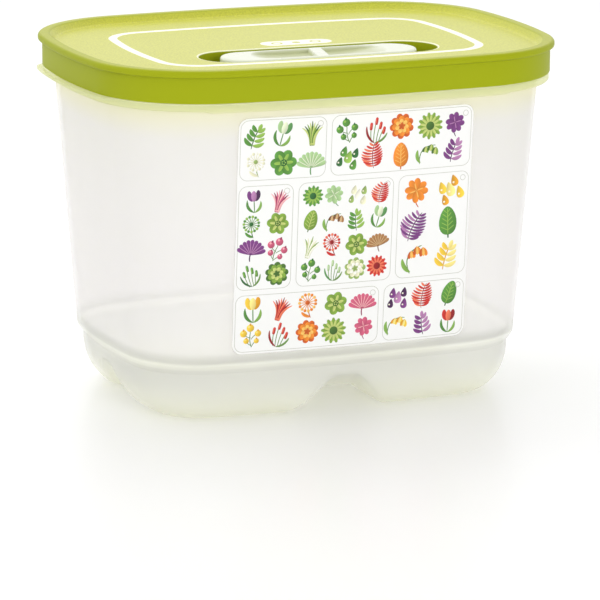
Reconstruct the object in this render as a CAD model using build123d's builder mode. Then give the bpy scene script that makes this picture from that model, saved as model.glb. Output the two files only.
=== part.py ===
"""Vegetable storage container: a translucent tub, a press-on lid and the slide of the lid's air vent.

Millimetres, +Z up, +X to the long side's right, +Y to the back. The origin is in the middle of the
container on the surface it stands on. Each outline is the lid's crest outline drawn in by an inset,
so every wall, seal and gap is given as an inset and a height.
"""

from build123d import *
import math
import os

# Crest outline of the lid, seen from above
half_length = 124.3
half_width = 93.5
end_arc_radius = 323.0
side_arc_radius = 833.0
corner_radius = 57.5

# Heights of the tub
basin_top = 24.6
ledge_foot = 26.4
ledge_top = 30.9
ledge_lift = 1.4
flange_top = 164.7
rim_height = 13.9

# Walls and draft of the tub
tub_wall = 1.8
wall_draft = 0.0799
rim_wall = 2.3
rim_lead = 0.6
wall_set_back = 3.1
ledge_width = 3.1
basin_slope = 0.3
basin_rounding = 15.0
floor_inset = 47.0

# Flange under the lid's skirt
flange_thickness = 1.5
flange_inset = 2.0
lip_wall = 1.7
lip_depth = 2.2
lip_chamfer = 0.7
long_side_lip_drop = 0.8
long_side_lip_step = 0.3
long_side_lip_half_length = 80.0
grip_reach = 3.4
grip_thickness = 1.3
grip_half_width = 57.0
grip_slope = 8.0
grip_root_depth = 12.0

# Feet, with an arched gap between each pair
underside_height = 8.0
arch_height = 21.0
arch_bottom_half_width = 20.0
arch_top_half_width = 11.0
arch_slope_length = 30.0
arch_rounding = 4.0

# Ribs on the floor of each foot
floor_rib_width = 1.5
floor_rib_height = 1.6
floor_rib_length = 26.0
floor_rib_pitch = 11.0
floor_ribs_per_foot = 4
floor_rib_place = (55.0, 34.0)

# Lid
lid_wall = 1.5
bead_overhang = 0.7
bead_height = 3.9
bead_width = 5.7
skirt_inset = 1.45
lid_roof = 2.4
panel_drop = 3.6
panel_thickness = 1.7
bead_slope = 0.6
bead_chamfer = 1.0
bead_inner_chamfer = 0.8
cove_width = 3.4
plug_depth = 7.4
plug_lead = 0.6

# Snap beads of the rim and the skirt
rim_bead = 0.7
rim_bead_height = 5.6
skirt_bead = 0.3
skirt_bead_drop = 2.7

# Clearances between the lid and the tub
seat_clearance = 0.3
plug_clearance = 0.3
snap_clearance = 0.35

# Oval well of the vent
well_centre = (0.0, -32.2)
well_half_length = 62.9
well_radius = 17.6
well_depth = 5.0
well_floor = 1.5
air_hole_radius = 4.5
air_hole_spacing = 52.0

# Slide of the vent
slide_length = 103.6
slide_width = 27.4
slide_travel = 10.5
slide_clearance = 0.3
slide_below_panel = 0.2
slide_wall = 1.6
slide_chamfer = 0.5
runner_thickness = 1.2
runner_half_length = 34.0
runner_side_clearance = 0.5
lug_length = 9.0
lug_spacing = 44.0
lug_reach = 2.5
lug_thickness = 1.4
pad_wall = 3.0

# Thumb scoops of the slide and the rib between them
scoop_width = 19.6
scoop_reach = 36.0
scoop_depth = 2.1
scoop_rib_width = 7.0
scoop_rib_lean = 4.0

# Printed film on the front wall
label_width = 124.0
label_low = 36.6
label_high = 156.0
label_thickness = 0.3
label_gap = 0.15
label_corner = 5.0

# Insets and heights that follow from the sizes above
skirt_inner = skirt_inset + lid_wall
rim_outer = skirt_inner + skirt_bead + snap_clearance + rim_bead
rim_inner = rim_outer + rim_wall
plug_outer = rim_inner + plug_clearance
wall_at_flange = rim_outer + wall_set_back
rim_top = flange_top + rim_height
roof_height = rim_top + seat_clearance
crest_height = roof_height + lid_roof
panel_top = crest_height - panel_drop
panel_bottom = panel_top - panel_thickness
skirt_bottom = flange_top + seat_clearance
lip_inner = flange_inset + lip_wall
lip_bottom = flange_top - flange_thickness - lip_depth
well_floor_top = panel_top - well_depth
well_floor_bottom = well_floor_top - well_floor


def wall_inset(height):
    """Inset of the tub's outer wall at a height between the ledge and the flange."""
    return wall_at_flange + wall_draft * (flange_top - height)


ledge_inset = wall_inset(ledge_top)
basin_inset = ledge_inset + ledge_width


def corner_centre():
    """Centre of the corner arc that is tangent to the side arc and the end arc."""
    side_y = half_width - side_arc_radius
    end_x = half_length - end_arc_radius
    side_reach = side_arc_radius - corner_radius
    end_reach = end_arc_radius - corner_radius
    span = math.hypot(end_x, side_y)
    along = (side_reach**2 - end_reach**2 + span**2) / (2 * span)
    across = math.sqrt(side_reach**2 - along**2)
    toward = (end_x / span, -side_y / span)
    return (
        along * toward[0] + across * toward[1],
        side_y + along * toward[1] - across * toward[0],
    )


def quarter_arcs():
    """Centre, radius, start and stop angle of each arc, from the back's middle to the end's."""
    corner = corner_centre()
    side = (0.0, half_width - side_arc_radius)
    end = (half_length - end_arc_radius, 0.0)
    side_angle = math.atan2(corner[1] - side[1], corner[0] - side[0])
    end_angle = math.atan2(corner[1] - end[1], corner[0] - end[0])
    return [
        (side, side_arc_radius, math.pi / 2, side_angle),
        (corner, corner_radius, side_angle, end_angle),
        (end, end_arc_radius, end_angle, 0.0),
    ]


def outline(inset, height=0.0):
    """The crest outline drawn in by an inset, as a flat face at a height."""
    with BuildSketch(Plane.XY.offset(height)) as sketch:
        with BuildLine():
            for centre, radius, start, stop in quarter_arcs():
                CenterArc(
                    centre,
                    radius - inset,
                    start_angle=math.degrees(start),
                    arc_size=math.degrees(stop - start),
                )
            mirror(about=Plane.XZ)
            mirror(about=Plane.YZ)
        make_face()
    return sketch.sketch


def slab(inset, low, high):
    """A solid of the outline between two heights."""
    with BuildPart() as solid:
        add(outline(inset, low))
        extrude(amount=high - low)
    return solid.part


def ring(outer_inset, inner_inset, low, high):
    """An upright band of the outline between two insets and two heights."""
    with BuildPart() as band:
        add(slab(outer_inset, low, high))
        add(slab(inner_inset, low, high), mode=Mode.SUBTRACT)
    return band.part


def carried_round(section, fill_inset, low, high):
    """A section of inset and height turned about each arc's centre, with its middle filled in."""
    with BuildPart() as solid:
        for centre, radius, start, stop in quarter_arcs():
            inward = Vector(-math.cos(start), -math.sin(start))
            crest = Vector(*centre) - inward * radius
            upright = Plane(origin=crest, x_dir=inward, z_dir=inward.cross(Vector(0, 0, 1)))
            with BuildSketch(upright):
                add(section)
            revolve(
                axis=Axis((centre[0], centre[1], 0), (0, 0, -1)),
                revolution_arc=math.degrees(start - stop),
            )
        mirror(about=Plane.XZ)
        mirror(about=Plane.YZ)
        add(slab(fill_inset, low, high))
    return solid.part


def closed_section(corners):
    """A closed section of inset and height from its corners."""
    with BuildSketch() as sketch:
        with BuildLine():
            Polyline(*corners, close=True)
        make_face()
    return sketch.sketch


def tub_section(thickness, top):
    """Section of the tub's outside, or of its hollow when a wall thickness is given."""
    lift = ledge_lift if thickness else 0.0
    foot_inset = basin_inset + basin_slope * basin_top
    wall_side = basin_inset + thickness
    if thickness:
        web = flange_top
        rim = [(rim_inner, web), (rim_inner, top)]
    else:
        web = flange_top - flange_thickness
        bead_centre = flange_top + rim_bead_height
        rim = [
            (lip_inner, web),
            (lip_inner, lip_bottom),
            (flange_inset + lip_chamfer, lip_bottom),
            (flange_inset, lip_bottom + lip_chamfer),
            (flange_inset, flange_top),
            (rim_outer, flange_top),
            (rim_outer, bead_centre - rim_bead),
            (rim_outer - rim_bead, bead_centre),
            (rim_outer, bead_centre + rim_bead),
            (rim_outer, top - rim_lead),
            (rim_outer + rim_lead, top),
        ]
    with BuildSketch() as sketch:
        with BuildLine():
            FilletPolyline(
                (floor_inset, thickness),
                (foot_inset + (1 - basin_slope) * thickness, thickness),
                (wall_side, basin_top),
                radius=basin_rounding - thickness,
            )
            Polyline(
                (wall_side, basin_top),
                (wall_side, ledge_foot + lift),
                (ledge_inset + thickness, ledge_top + lift),
                (wall_inset(web) + thickness, web),
                *rim,
                (floor_inset, top),
                (floor_inset, thickness),
            )
        make_face()
    return sketch.sketch


def arch_cutter(reach, grow):
    """The gap between two feet, along Y: a trapezoid whose ceiling rises towards both sides.

    `reach` is how far out the outer face lies, and `grow` is added all round for the inner side.
    """
    ceiling = arch_height + grow
    bottom = arch_bottom_half_width + grow
    top = arch_top_half_width + grow
    mouth = bottom + 2 * arch_rounding
    with BuildPart() as gap:
        with BuildSketch(Plane.XZ):
            with BuildLine():
                FilletPolyline(
                    (-mouth, grow),
                    (-bottom, grow),
                    (-top, ceiling),
                    (top, ceiling),
                    (bottom, grow),
                    (mouth, grow),
                    radius=arch_rounding,
                )
                Polyline((mouth, grow), (mouth, -1), (-mouth, -1), (-mouth, grow))
            make_face()
        extrude(amount=2 * reach, both=True)
        with BuildSketch(Plane.YZ):
            with BuildLine():
                Polyline(
                    (-2 * reach, -2),
                    (2 * reach, -2),
                    (2 * reach, ceiling),
                    (reach, ceiling),
                    (reach - arch_slope_length, underside_height + grow),
                    (arch_slope_length - reach, underside_height + grow),
                    (-reach, ceiling),
                    (-2 * reach, ceiling),
                    close=True,
                )
            make_face()
        extrude(amount=mouth + 1, both=True, mode=Mode.INTERSECT)
    return gap.part


def arches(grow):
    """Both gaps under the tub: one runs front to back, the other end to end."""
    with BuildPart() as both:
        add(arch_cutter(half_width - basin_inset, grow))
        add(arch_cutter(half_length - basin_inset, grow), rotation=(0, 0, 90))
    return both.part


with BuildPart() as tub_hollow:
    add(carried_round(tub_section(tub_wall, rim_top + 1), floor_inset - 1, tub_wall, rim_top + 1))
    add(arches(tub_wall), mode=Mode.SUBTRACT)

with BuildPart() as long_side_lip:
    add(
        ring(
            flange_inset + long_side_lip_step,
            lip_inner - long_side_lip_step,
            lip_bottom - long_side_lip_drop,
            lip_bottom + lip_depth,
        )
    )
    with BuildSketch(Plane.XY.offset(lip_bottom - long_side_lip_drop)):
        Rectangle(2 * long_side_lip_half_length, 2 * half_width)
    extrude(amount=lip_depth + long_side_lip_drop, mode=Mode.INTERSECT)

with BuildPart() as grip:
    add(
        ring(
            flange_inset - grip_reach,
            flange_inset + lip_wall / 2,
            flange_top - grip_thickness,
            flange_top,
        )
    )
    with BuildSketch(Plane.XY.offset(flange_top - grip_thickness)):
        with BuildLine():
            grip_tip = -half_length - grip_reach
            grip_root = -half_length + grip_root_depth
            Polyline(
                (grip_tip, -grip_half_width + grip_slope),
                (grip_root, -grip_half_width),
                (grip_root, grip_half_width),
                (grip_tip, grip_half_width - grip_slope),
                close=True,
            )
        make_face()
    extrude(amount=grip_thickness, mode=Mode.INTERSECT)

with BuildPart() as tub:
    add(carried_round(tub_section(0.0, rim_top), floor_inset - 1, 0, rim_top))
    add(arches(0.0), mode=Mode.SUBTRACT)
    add(tub_hollow.part, mode=Mode.SUBTRACT)
    add(long_side_lip.part)
    add(grip.part)
    with BuildSketch(Plane.XY.offset(tub_wall)):
        for side_x in (-1, 1):
            for side_y in (-1, 1):
                with Locations((side_x * floor_rib_place[0], side_y * floor_rib_place[1])):
                    with GridLocations(floor_rib_pitch, 0, floor_ribs_per_foot, 1):
                        Rectangle(floor_rib_width, floor_rib_length)
    extrude(amount=floor_rib_height)
tub.part.label = "tub"


def lid_section():
    """Section of the lid's edge: skirt, bead, cove and the channel over the tub's rim."""
    bead_bottom = crest_height - bead_height
    bead_inner = bead_width - bead_overhang
    skirt_bead_height = skirt_bottom + skirt_bead_drop
    plug_bottom = roof_height - plug_depth
    corners = [
        (skirt_inset, skirt_bottom),
        (skirt_inset, bead_bottom),
        (-bead_overhang, bead_bottom + bead_slope),
        (-bead_overhang, crest_height - bead_chamfer),
        (bead_chamfer - bead_overhang, crest_height),
        (bead_inner - bead_inner_chamfer, crest_height),
        (bead_inner + bead_inner_chamfer, crest_height - bead_inner_chamfer),
        (bead_inner + cove_width, panel_top),
        (floor_inset, panel_top),
        (floor_inset, panel_bottom),
        (plug_outer + lid_wall, panel_bottom),
        (plug_outer + lid_wall, plug_bottom),
        (plug_outer + plug_lead, plug_bottom),
        (plug_outer, plug_bottom + 2 * plug_lead),
        (plug_outer, roof_height),
        (skirt_inner, roof_height),
        (skirt_inner, skirt_bead_height + 2 * skirt_bead),
        (skirt_inner + skirt_bead, skirt_bead_height),
        (skirt_inner, skirt_bead_height - 2 * skirt_bead),
        (skirt_inner, skirt_bottom),
    ]
    return closed_section(corners)


slide_bottom = well_floor_top + slide_clearance
slide_top = panel_top - slide_below_panel
runner_top = slide_bottom + runner_thickness

with BuildPart() as lid:
    add(carried_round(lid_section(), floor_inset - 1, panel_bottom, panel_top))
    with BuildSketch(Plane.XY.offset(well_floor_bottom)):
        with Locations(well_centre):
            SlotOverall(2 * (well_half_length + well_floor), 2 * (well_radius + well_floor))
    extrude(amount=panel_top - well_floor_bottom)
    with BuildSketch(Plane.XY.offset(well_floor_top)):
        with Locations(well_centre):
            SlotOverall(2 * well_half_length, 2 * well_radius)
    extrude(amount=well_depth, mode=Mode.SUBTRACT)
    with BuildSketch(Plane.XY.offset(well_floor_bottom)):
        with Locations(well_centre):
            with GridLocations(air_hole_spacing, 0, 2, 1):
                Circle(air_hole_radius)
    extrude(amount=well_floor, mode=Mode.SUBTRACT)
    with BuildSketch(Plane.XY.offset(runner_top + slide_clearance)):
        with Locations(well_centre):
            with GridLocations(lug_spacing, 2 * well_radius, 2, 2):
                Rectangle(lug_length, 2 * lug_reach)
    extrude(amount=lug_thickness)
lid.part.label = "lid"


def scoops(grow):
    """The two thumb scoops, deepest beside the slanted rib and rising to the slide's ends."""
    deep = slide_top - scoop_depth - grow
    shallow = slide_top - grow
    half = scoop_width / 2
    with BuildPart() as pair:
        with BuildSketch(Plane.XY.offset(slide_bottom)):
            with Locations(well_centre):
                SlotOverall(2 * (scoop_reach + grow), scoop_width + 2 * grow)
        extrude(amount=slide_top - slide_bottom + 1)
        with BuildSketch(Plane.XY.offset(slide_bottom)):
            with Locations(well_centre):
                with BuildLine():
                    lean = scoop_rib_lean / 2
                    rib = scoop_rib_width / 2 - grow
                    Polyline(
                        (-rib - lean, -scoop_width),
                        (rib - lean, -scoop_width),
                        (rib + lean, scoop_width),
                        (-rib + lean, scoop_width),
                        close=True,
                    )
                make_face()
        extrude(amount=slide_top - slide_bottom + 1, mode=Mode.SUBTRACT)
        with BuildSketch(Plane.XZ.offset(-well_centre[1])):
            with BuildLine():
                Line((0, deep), (0, slide_top + 2))
                Line((0, slide_top + 2), (scoop_reach + grow, slide_top + 2))
                Line((scoop_reach + grow, slide_top + 2), (scoop_reach + grow, shallow))
                ThreePointArc(
                    (scoop_reach + grow, shallow),
                    ((scoop_reach + grow) / 2, deep + scoop_depth * 0.36),
                    (0, deep),
                )
            make_face()
            mirror(about=Plane.YZ)
        extrude(amount=half + grow + 1, both=True, mode=Mode.INTERSECT)
    return pair.part


pad_half_width = air_hole_radius + pad_wall / 2

with BuildPart() as slide_core:
    with BuildSketch(Plane.XY.offset(slide_bottom)):
        with Locations(well_centre):
            SlotOverall(slide_length - 2 * slide_wall, slide_width - 2 * slide_wall)
    extrude(amount=slide_top - slide_bottom - slide_wall)
    add(scoops(slide_wall), mode=Mode.SUBTRACT)
    with BuildSketch(Plane.XY.offset(slide_bottom)):
        with Locations(well_centre):
            with Locations((slide_travel / 2 - air_hole_spacing / 2, 0)):
                SlotOverall(slide_travel + 2 * pad_half_width, 2 * pad_half_width)
            with Locations((slide_travel + air_hole_spacing / 2, 0)):
                Circle(pad_half_width)
    extrude(amount=slide_top - slide_bottom, mode=Mode.SUBTRACT)

with BuildPart() as vent_slide:
    with BuildSketch(Plane.XY.offset(slide_bottom)):
        with Locations(well_centre):
            SlotOverall(slide_length, slide_width)
    extrude(amount=slide_top - slide_bottom)
    chamfer(vent_slide.edges().group_by(Axis.Z)[-1], length=slide_chamfer)
    add(scoops(0.0), mode=Mode.SUBTRACT)
    add(slide_core.part, mode=Mode.SUBTRACT)
    with BuildSketch(Plane.XY.offset(slide_bottom)):
        with Locations(well_centre):
            runner = well_radius - runner_side_clearance - slide_width / 2 + slide_wall
            with GridLocations(0, slide_width - 2 * slide_wall + runner, 1, 2):
                Rectangle(2 * runner_half_length, runner)
    extrude(amount=runner_thickness)
vent_slide.part.label = "vent_slide"

with BuildPart() as chart_label:
    with BuildSketch(Plane.YZ) as film_section:
        with BuildLine():
            low_y = wall_inset(label_low) - label_gap - half_width
            high_y = wall_inset(label_high) - label_gap - half_width
            Polyline(
                (low_y, label_low),
                (low_y - label_thickness, label_low),
                (high_y - label_thickness, label_high),
                (high_y, label_high),
                close=True,
            )
        make_face()
    revolve(
        axis=Axis((0, side_arc_radius - half_width, 0), (0, 0, 1)),
        revolution_arc=math.degrees(label_width / side_arc_radius),
    )
    mirror(about=Plane.YZ)
    with BuildSketch(Plane.XZ.offset(half_width / 2)):
        with Locations((0, (label_low + label_high) / 2)):
            RectangleRounded(label_width, label_high - label_low, label_corner)
    extrude(amount=half_width, mode=Mode.INTERSECT)
chart_label.part.label = "chart_label"

pieces = [tub.part, lid.part, vent_slide.part, chart_label.part]
os.makedirs("parts", exist_ok=True)
for piece in pieces:
    export_step(piece, f"parts/{piece.label}.step")
    print(piece.label, round(piece.volume), piece.is_valid, len(piece.solids()), piece.bounding_box())
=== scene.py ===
"""Looks of a vegetable storage container: a frosted tub, a lime lid, the slide of its vent and a printed chart.

Metres, +Z up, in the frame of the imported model. Each outline is the lid's crest outline drawn in by an
inset, so a wall is a section of insets and heights carried round the outline.
"""

import math

import bmesh
import bpy
import numpy as np
from bpy.props import FloatProperty, FloatVectorProperty, IntProperty, PointerProperty
from mathutils import Matrix, Vector


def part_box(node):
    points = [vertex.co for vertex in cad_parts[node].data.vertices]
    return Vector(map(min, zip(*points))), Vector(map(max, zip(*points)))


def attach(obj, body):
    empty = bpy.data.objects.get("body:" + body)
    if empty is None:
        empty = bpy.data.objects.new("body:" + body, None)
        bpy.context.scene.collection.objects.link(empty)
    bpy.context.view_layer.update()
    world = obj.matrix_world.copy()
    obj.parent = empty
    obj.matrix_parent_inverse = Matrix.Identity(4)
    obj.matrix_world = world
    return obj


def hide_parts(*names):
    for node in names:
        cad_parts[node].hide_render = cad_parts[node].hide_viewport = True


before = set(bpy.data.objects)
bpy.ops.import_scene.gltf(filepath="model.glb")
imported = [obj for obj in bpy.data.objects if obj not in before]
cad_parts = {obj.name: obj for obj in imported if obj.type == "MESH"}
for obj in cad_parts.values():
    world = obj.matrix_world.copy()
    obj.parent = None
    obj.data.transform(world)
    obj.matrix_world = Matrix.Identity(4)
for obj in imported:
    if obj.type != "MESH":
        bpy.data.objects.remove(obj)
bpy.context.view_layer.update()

bl_info = {
    "name": "Vegetable keeper",
    "version": (1, 0, 0),
    "blender": (4, 5, 0),
    "location": "3D View > Sidebar > Keeper",
    "description": "Builds the looks of a vented vegetable storage container round its packed frame",
    "category": "Add Mesh",
}

MM = 0.001
SHARP_ANGLE = math.radians(32)
MERGE = 1e-6
TUB_LOW, TUB_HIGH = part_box("tub")
LID_LOW, LID_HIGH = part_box("lid")
SLIDE_LOW, SLIDE_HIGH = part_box("vent_slide")
FILM_LOW, FILM_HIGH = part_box("chart_label")


def size(name, description, default):
    """A length property in metres."""
    return FloatProperty(name=name, description=description, default=default, unit="LENGTH", precision=5)


def share(name, description, default):
    """A property from zero to one."""
    return FloatProperty(name=name, description=description, default=default, min=0.0, max=1.0, subtype="FACTOR")


def linear(red, green, blue):
    """Scene linear colour of a display colour given from 0 to 255."""
    shown = np.array((red, green, blue)) / 255.0
    values = np.where(shown <= 0.04045, shown / 12.92, ((shown + 0.055) / 1.055) ** 2.4)
    return tuple(float(value) for value in values)


def colour(name, description, *shown):
    """A colour property from a display colour."""
    return FloatVectorProperty(
        name=name, description=description, default=linear(*shown), size=3, min=0.0, max=1.0, subtype="COLOR"
    )


class KeeperOutline(bpy.types.PropertyGroup):
    """The three tangent arcs of the crest outline, and how finely they are divided."""

    crest_overhang: size("Crest overhang", "How far the bead stands outside the crest outline", 0.7 * MM)
    end_arc: size("End arc", "Radius of the short ends", 323.0 * MM)
    side_arc: size("Side arc", "Radius of the long sides", 833.0 * MM)
    corner_arc: size("Corner arc", "Radius of the corners", 57.5 * MM)
    side_steps: IntProperty(name="Side steps", description="Grid steps on half a long side", default=50)
    corner_steps: IntProperty(name="Corner steps", description="Grid steps on a corner", default=44)
    end_steps: IntProperty(name="End steps", description="Grid steps on half an end", default=32)


class KeeperTub(bpy.types.PropertyGroup):
    """Sizes and colours of the frosted tub."""

    wall: size("Wall", "Thickness of the walls and the floor", 1.8 * MM)
    draft: share("Wall draft", "How much the wall leans out for each unit of height", 0.0799)
    basin_top: size("Basin top", "Height where the basin ends", 24.6 * MM)
    ledge_foot: size("Ledge foot", "Height where the ledge starts", 26.4 * MM)
    ledge_top: size("Ledge top", "Height where the upper wall starts", 30.9 * MM)
    ledge_lift: size("Ledge lift", "How much higher the ledge lies inside", 1.4 * MM)
    ledge_width: size("Ledge width", "How far the ledge steps in", 3.1 * MM)
    basin_reach: size("Basin reach", "How far the basin's curve reaches in", 19.0 * MM)
    floor_inset: size("Floor inset", "Inset where the flat middle of the floor starts", 47.0 * MM)
    rim_height: size("Rim height", "Height of the rim over the flange", 13.9 * MM)
    rim_wall: size("Rim wall", "Thickness of the rim", 2.3 * MM)
    rim_outer: size("Rim inset", "Inset of the rim's outer face", 4.3 * MM)
    rim_bead: size("Rim bead", "How far the rim's bead stands out", 0.7 * MM)
    rim_bead_height: size("Rim bead height", "Height of the bead over the flange", 5.6 * MM)
    wall_set_back: size("Wall set-back", "How far the wall starts inside the rim", 3.1 * MM)
    flange: size("Flange", "Thickness of the flange", 1.5 * MM)
    flange_inset: size("Flange inset", "Inset of the flange's edge", 2.0 * MM)
    lip_wall: size("Lip wall", "Thickness of the lip that hangs from the flange", 1.7 * MM)
    lip_depth: size("Lip depth", "How far the lip hangs down", 2.2 * MM)
    lip_drop: size("Lip drop", "How much lower the lip hangs on the long sides", 0.8 * MM)
    lip_half_length: size("Lip half length", "Half the length of the lower lip", 80.0 * MM)
    grip_reach: size("Grip reach", "How far the grip stands out at the left end", 3.4 * MM)
    grip_thickness: size("Grip thickness", "Thickness of the grip", 1.3 * MM)
    grip_half_width: size("Grip half width", "Half the width of the grip", 57.0 * MM)
    grip_slope: size("Grip slope", "Length of the grip's slanted ends", 8.0 * MM)
    arch_height: size("Arch height", "Height of the arches at the sides", 21.0 * MM)
    underside: size("Underside", "Height of the gap under the middle", 8.0 * MM)
    arch_bottom: size("Arch bottom", "Half the width of an arch at the floor", 24.0 * MM)
    arch_top: size("Arch top", "Half the width of an arch at its ceiling", 7.5 * MM)
    arch_slope: size("Arch slope", "Length over which the ceiling rises", 30.0 * MM)
    arch_blend: size("Arch blend", "Softness of the arches' edges", 4.5 * MM)
    rib_width: size("Rib width", "Width of the ribs on the floor", 1.5 * MM)
    rib_height: size("Rib height", "Height of the ribs on the floor", 1.6 * MM)
    rib_length: size("Rib length", "Length of the ribs on the floor", 26.0 * MM)
    rib_pitch: size("Rib pitch", "Distance from rib to rib", 11.0 * MM)
    rib_x: size("Ribs along", "Middle of each set of ribs, along the tub", 55.0 * MM)
    rib_y: size("Ribs across", "Middle of each set of ribs, across the tub", 34.0 * MM)
    ledge_rounding: size("Ledge rounding", "Radius of the ledge's outer edge", 2.2 * MM)
    rounding: size("Rounding", "Radius of the small edges", 0.4 * MM)
    fine_rounding: size("Fine rounding", "Radius of the finest edges", 0.3 * MM)
    inner_rounding: size("Inner rounding", "Radius of the corners inside the rim", 0.8 * MM)
    body_colour: colour("Tub colour", "Colour of the frosted plastic", 251, 250, 251)
    # Painted lime light from the lid on the wall just under it
    painted_shoulder_light_colour: colour("Shoulder colour", "Colour of the wall near the lid", 253, 251, 238)
    # Painted lime light from the lid on the flange under its skirt
    flange_colour: colour("Flange colour", "Colour of the flange, tinted by the lid", 245, 246, 222)
    # Painted shade in a thin band just over the ledge
    painted_crease_shade_colour: colour("Crease colour", "Colour of the wall just over the ledge", 237, 237, 236)
    # Painted highlight along the ledge's outer edge
    edge_colour: colour("Edge colour", "Colour of the ledge's outer edge", 255, 255, 253)
    # Painted shade: the basin under the ledge is a little darker than the wall
    basin_colour: colour("Basin colour", "Colour of the basin", 243, 243, 242)
    # Painted light: the feet round the arches are lighter and yellower than the basin
    foot_colour: colour("Foot colour", "Colour of the thicker feet", 249, 249, 243)
    # Painted glow: the tub emits its own colour, weakly on the walls and more at the feet, standing in for light
    # scattered inside
    wall_painted_glow: share("Inner glow", "Strength of the light that spreads inside the walls", 0.07)
    foot_painted_glow: share("Foot glow", "Strength of the light that spreads inside the thick feet", 0.27)
    frost: share("Frost", "Roughness of the satin surface", 0.42)
    glow: share("Glow", "How much light is scattered to the far side", 0.45)
    clarity: share("Clarity", "How much light goes straight through", 0.6)


class KeeperLid(bpy.types.PropertyGroup):
    """Sizes and colours of the lime lid."""

    wall: size("Lid wall", "Thickness of the skirt", 1.5 * MM)
    bead_height: size("Bead height", "Height of the bead", 3.9 * MM)
    bead_width: size("Bead width", "Width of the bead", 5.7 * MM)
    bead_slope: size("Bead slope", "Rise of the bead's underside", 0.6 * MM)
    cove: size("Cove", "Width of the cove inside the bead", 3.4 * MM)
    cove_rounding: size("Cove rounding", "Radius of the cove", 2.6 * MM)
    inner_rounding: size("Inner rounding", "Radius of the bead's inner edge", 2.0 * MM)
    outer_rounding: size("Outer rounding", "Radius of the bead's outer edge", 1.8 * MM)
    under_rounding: size("Under rounding", "Radius of the bead's lower edge", 1.1 * MM)
    rounding: size("Rounding", "Radius of the small edges", 0.4 * MM)
    snap_height: size("Snap height", "Height of the snap bead inside the skirt", 2.7 * MM)
    snap_reach: size("Snap reach", "How far the snap bead stands in", 0.3 * MM)
    snap_half: size("Snap half", "Half the height of the snap bead", 0.6 * MM)
    print_depth: size("Print depth", "How far the print starts below the panel", 0.05 * MM)
    print_lift: size("Print lift", "How far each layer of print stands out", 0.03 * MM)
    skirt_inset: size("Skirt inset", "Inset of the skirt's outer face", 1.45 * MM)
    panel_drop: size("Panel drop", "How far the panel lies below the bead", 3.6 * MM)
    panel: size("Panel", "Thickness of the panel", 1.7 * MM)
    roof: size("Roof", "Thickness over the rim", 2.4 * MM)
    plug_depth: size("Plug depth", "How deep the inner wall reaches into the tub", 7.4 * MM)
    plug_tip: size("Plug tip", "Height of the inner wall's slanted tip", 1.2 * MM)
    plug_slant: size("Plug slant", "How far the tip slants in", 0.6 * MM)
    plug_clearance: size("Plug clearance", "Gap between the rim and the inner wall", 0.3 * MM)
    line_inset: size("Line inset", "Inset of the printed line's middle", 37.3 * MM)
    line_width: size("Line width", "Width of the printed line", 4.4 * MM)
    lime: colour("Lime", "Colour of the bead and the skirt", 151, 160, 14)
    # The panel's paler colour is partly painted sheen
    panel_lime_and_sheen: colour("Panel lime", "Colour of the fine-grained panel", 196, 197, 66)
    # Painted highlight on the well's rounded edge
    well_edge_highlight_lime: colour("Edge lime", "Colour of the well's rounded edge", 244, 244, 210)
    polish: share("Polish", "Roughness of the bead and the skirt", 0.42)
    gloss: share("Gloss", "Strength of the mirrored light on the whole lid", 0.14)
    sheen: share("Sheen", "How much the panel mirrors at a low angle", 0.65)
    # Painted glow: lime light emitted from the lid's hidden inside surfaces, which tints the tub's flange
    inside_painted_glow: share("Passed light", "Strength of the daylight that shines through to the inside", 1.0)
    marks_x: size("Marks along", "Middle of the position marks along the lid", -0.8 * MM)
    marks_y: size("Marks across", "Middle of the position marks across the lid", -3.0 * MM)
    mark_lime: colour("Mark lime", "Colour of the position marks", 196, 198, 100)
    print_white: colour("Print", "Colour of the printed line and marks", 252, 252, 236)


class KeeperVent(bpy.types.PropertyGroup):
    """Sizes and colours of the vent's well and slide."""

    centre_y: size("Well centre", "Place of the well across the lid", -32.2 * MM)
    half_length: size("Well half length", "Half the length of the well", 62.9 * MM)
    radius: size("Well radius", "Half the width of the well", 17.6 * MM)
    depth: size("Well depth", "Depth of the well", 5.0 * MM)
    floor: size("Well floor", "Thickness of the well's floor", 1.5 * MM)
    hole_radius: size("Hole radius", "Radius of the air holes", 4.5 * MM)
    hole_spacing: size("Hole spacing", "Distance between the air holes", 52.0 * MM)
    lug_length: size("Lug length", "Length of the lugs that hold the slide", 9.0 * MM)
    lug_spacing: size("Lug spacing", "Distance between the lugs", 44.0 * MM)
    lug_reach: size("Lug reach", "How far the lugs stand in", 2.5 * MM)
    lug_thickness: size("Lug thickness", "Thickness of the lugs", 1.4 * MM)
    lug_root: size("Lug root", "How far the lugs reach into the well's wall", 1.0 * MM)
    clearance: size("Clearance", "Gap between the runners and the lugs", 0.3 * MM)
    pad_margin: size("Pad margin", "How far the pads reach past the air holes", 1.5 * MM)
    slide_width: size("Slide width", "Width of the slide without its runners", 27.4 * MM)
    slide_wall: size("Slide wall", "Thickness of the slide's shell", 1.6 * MM)
    slide_rounding: size("Slide rounding", "Radius of the slide's top edge", 1.5 * MM)
    runner: size("Runner", "Thickness of the runners", 1.2 * MM)
    runner_half_length: size("Runner half length", "Half the length of the runners", 34.0 * MM)
    travel: size("Travel", "How far the slide goes to each side", 10.5 * MM)
    scoop_width: size("Scoop width", "Width of the thumb scoops", 22.0 * MM)
    scoop_reach: size("Scoop reach", "How far the scoops reach to each end", 36.0 * MM)
    scoop_depth: size("Scoop depth", "Depth of the scoops beside the rib", 2.1 * MM)
    rib_width: size("Rib width", "Width of the rib between the scoops", 7.0 * MM)
    rib_lean: size("Rib lean", "How far the rib leans over", 4.0 * MM)
    rib_edge: size("Rib edge", "Half the width of the rib's slanted sides", 0.35 * MM)
    pearl: colour("Pearl", "Colour of the slide", 222, 226, 206)
    # Painted shade with painted lime light: the slide's colour in its scoops
    scoop_shade_pearl: colour("Thin pearl", "Colour of the slide under its scoops", 190, 195, 150)


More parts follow.
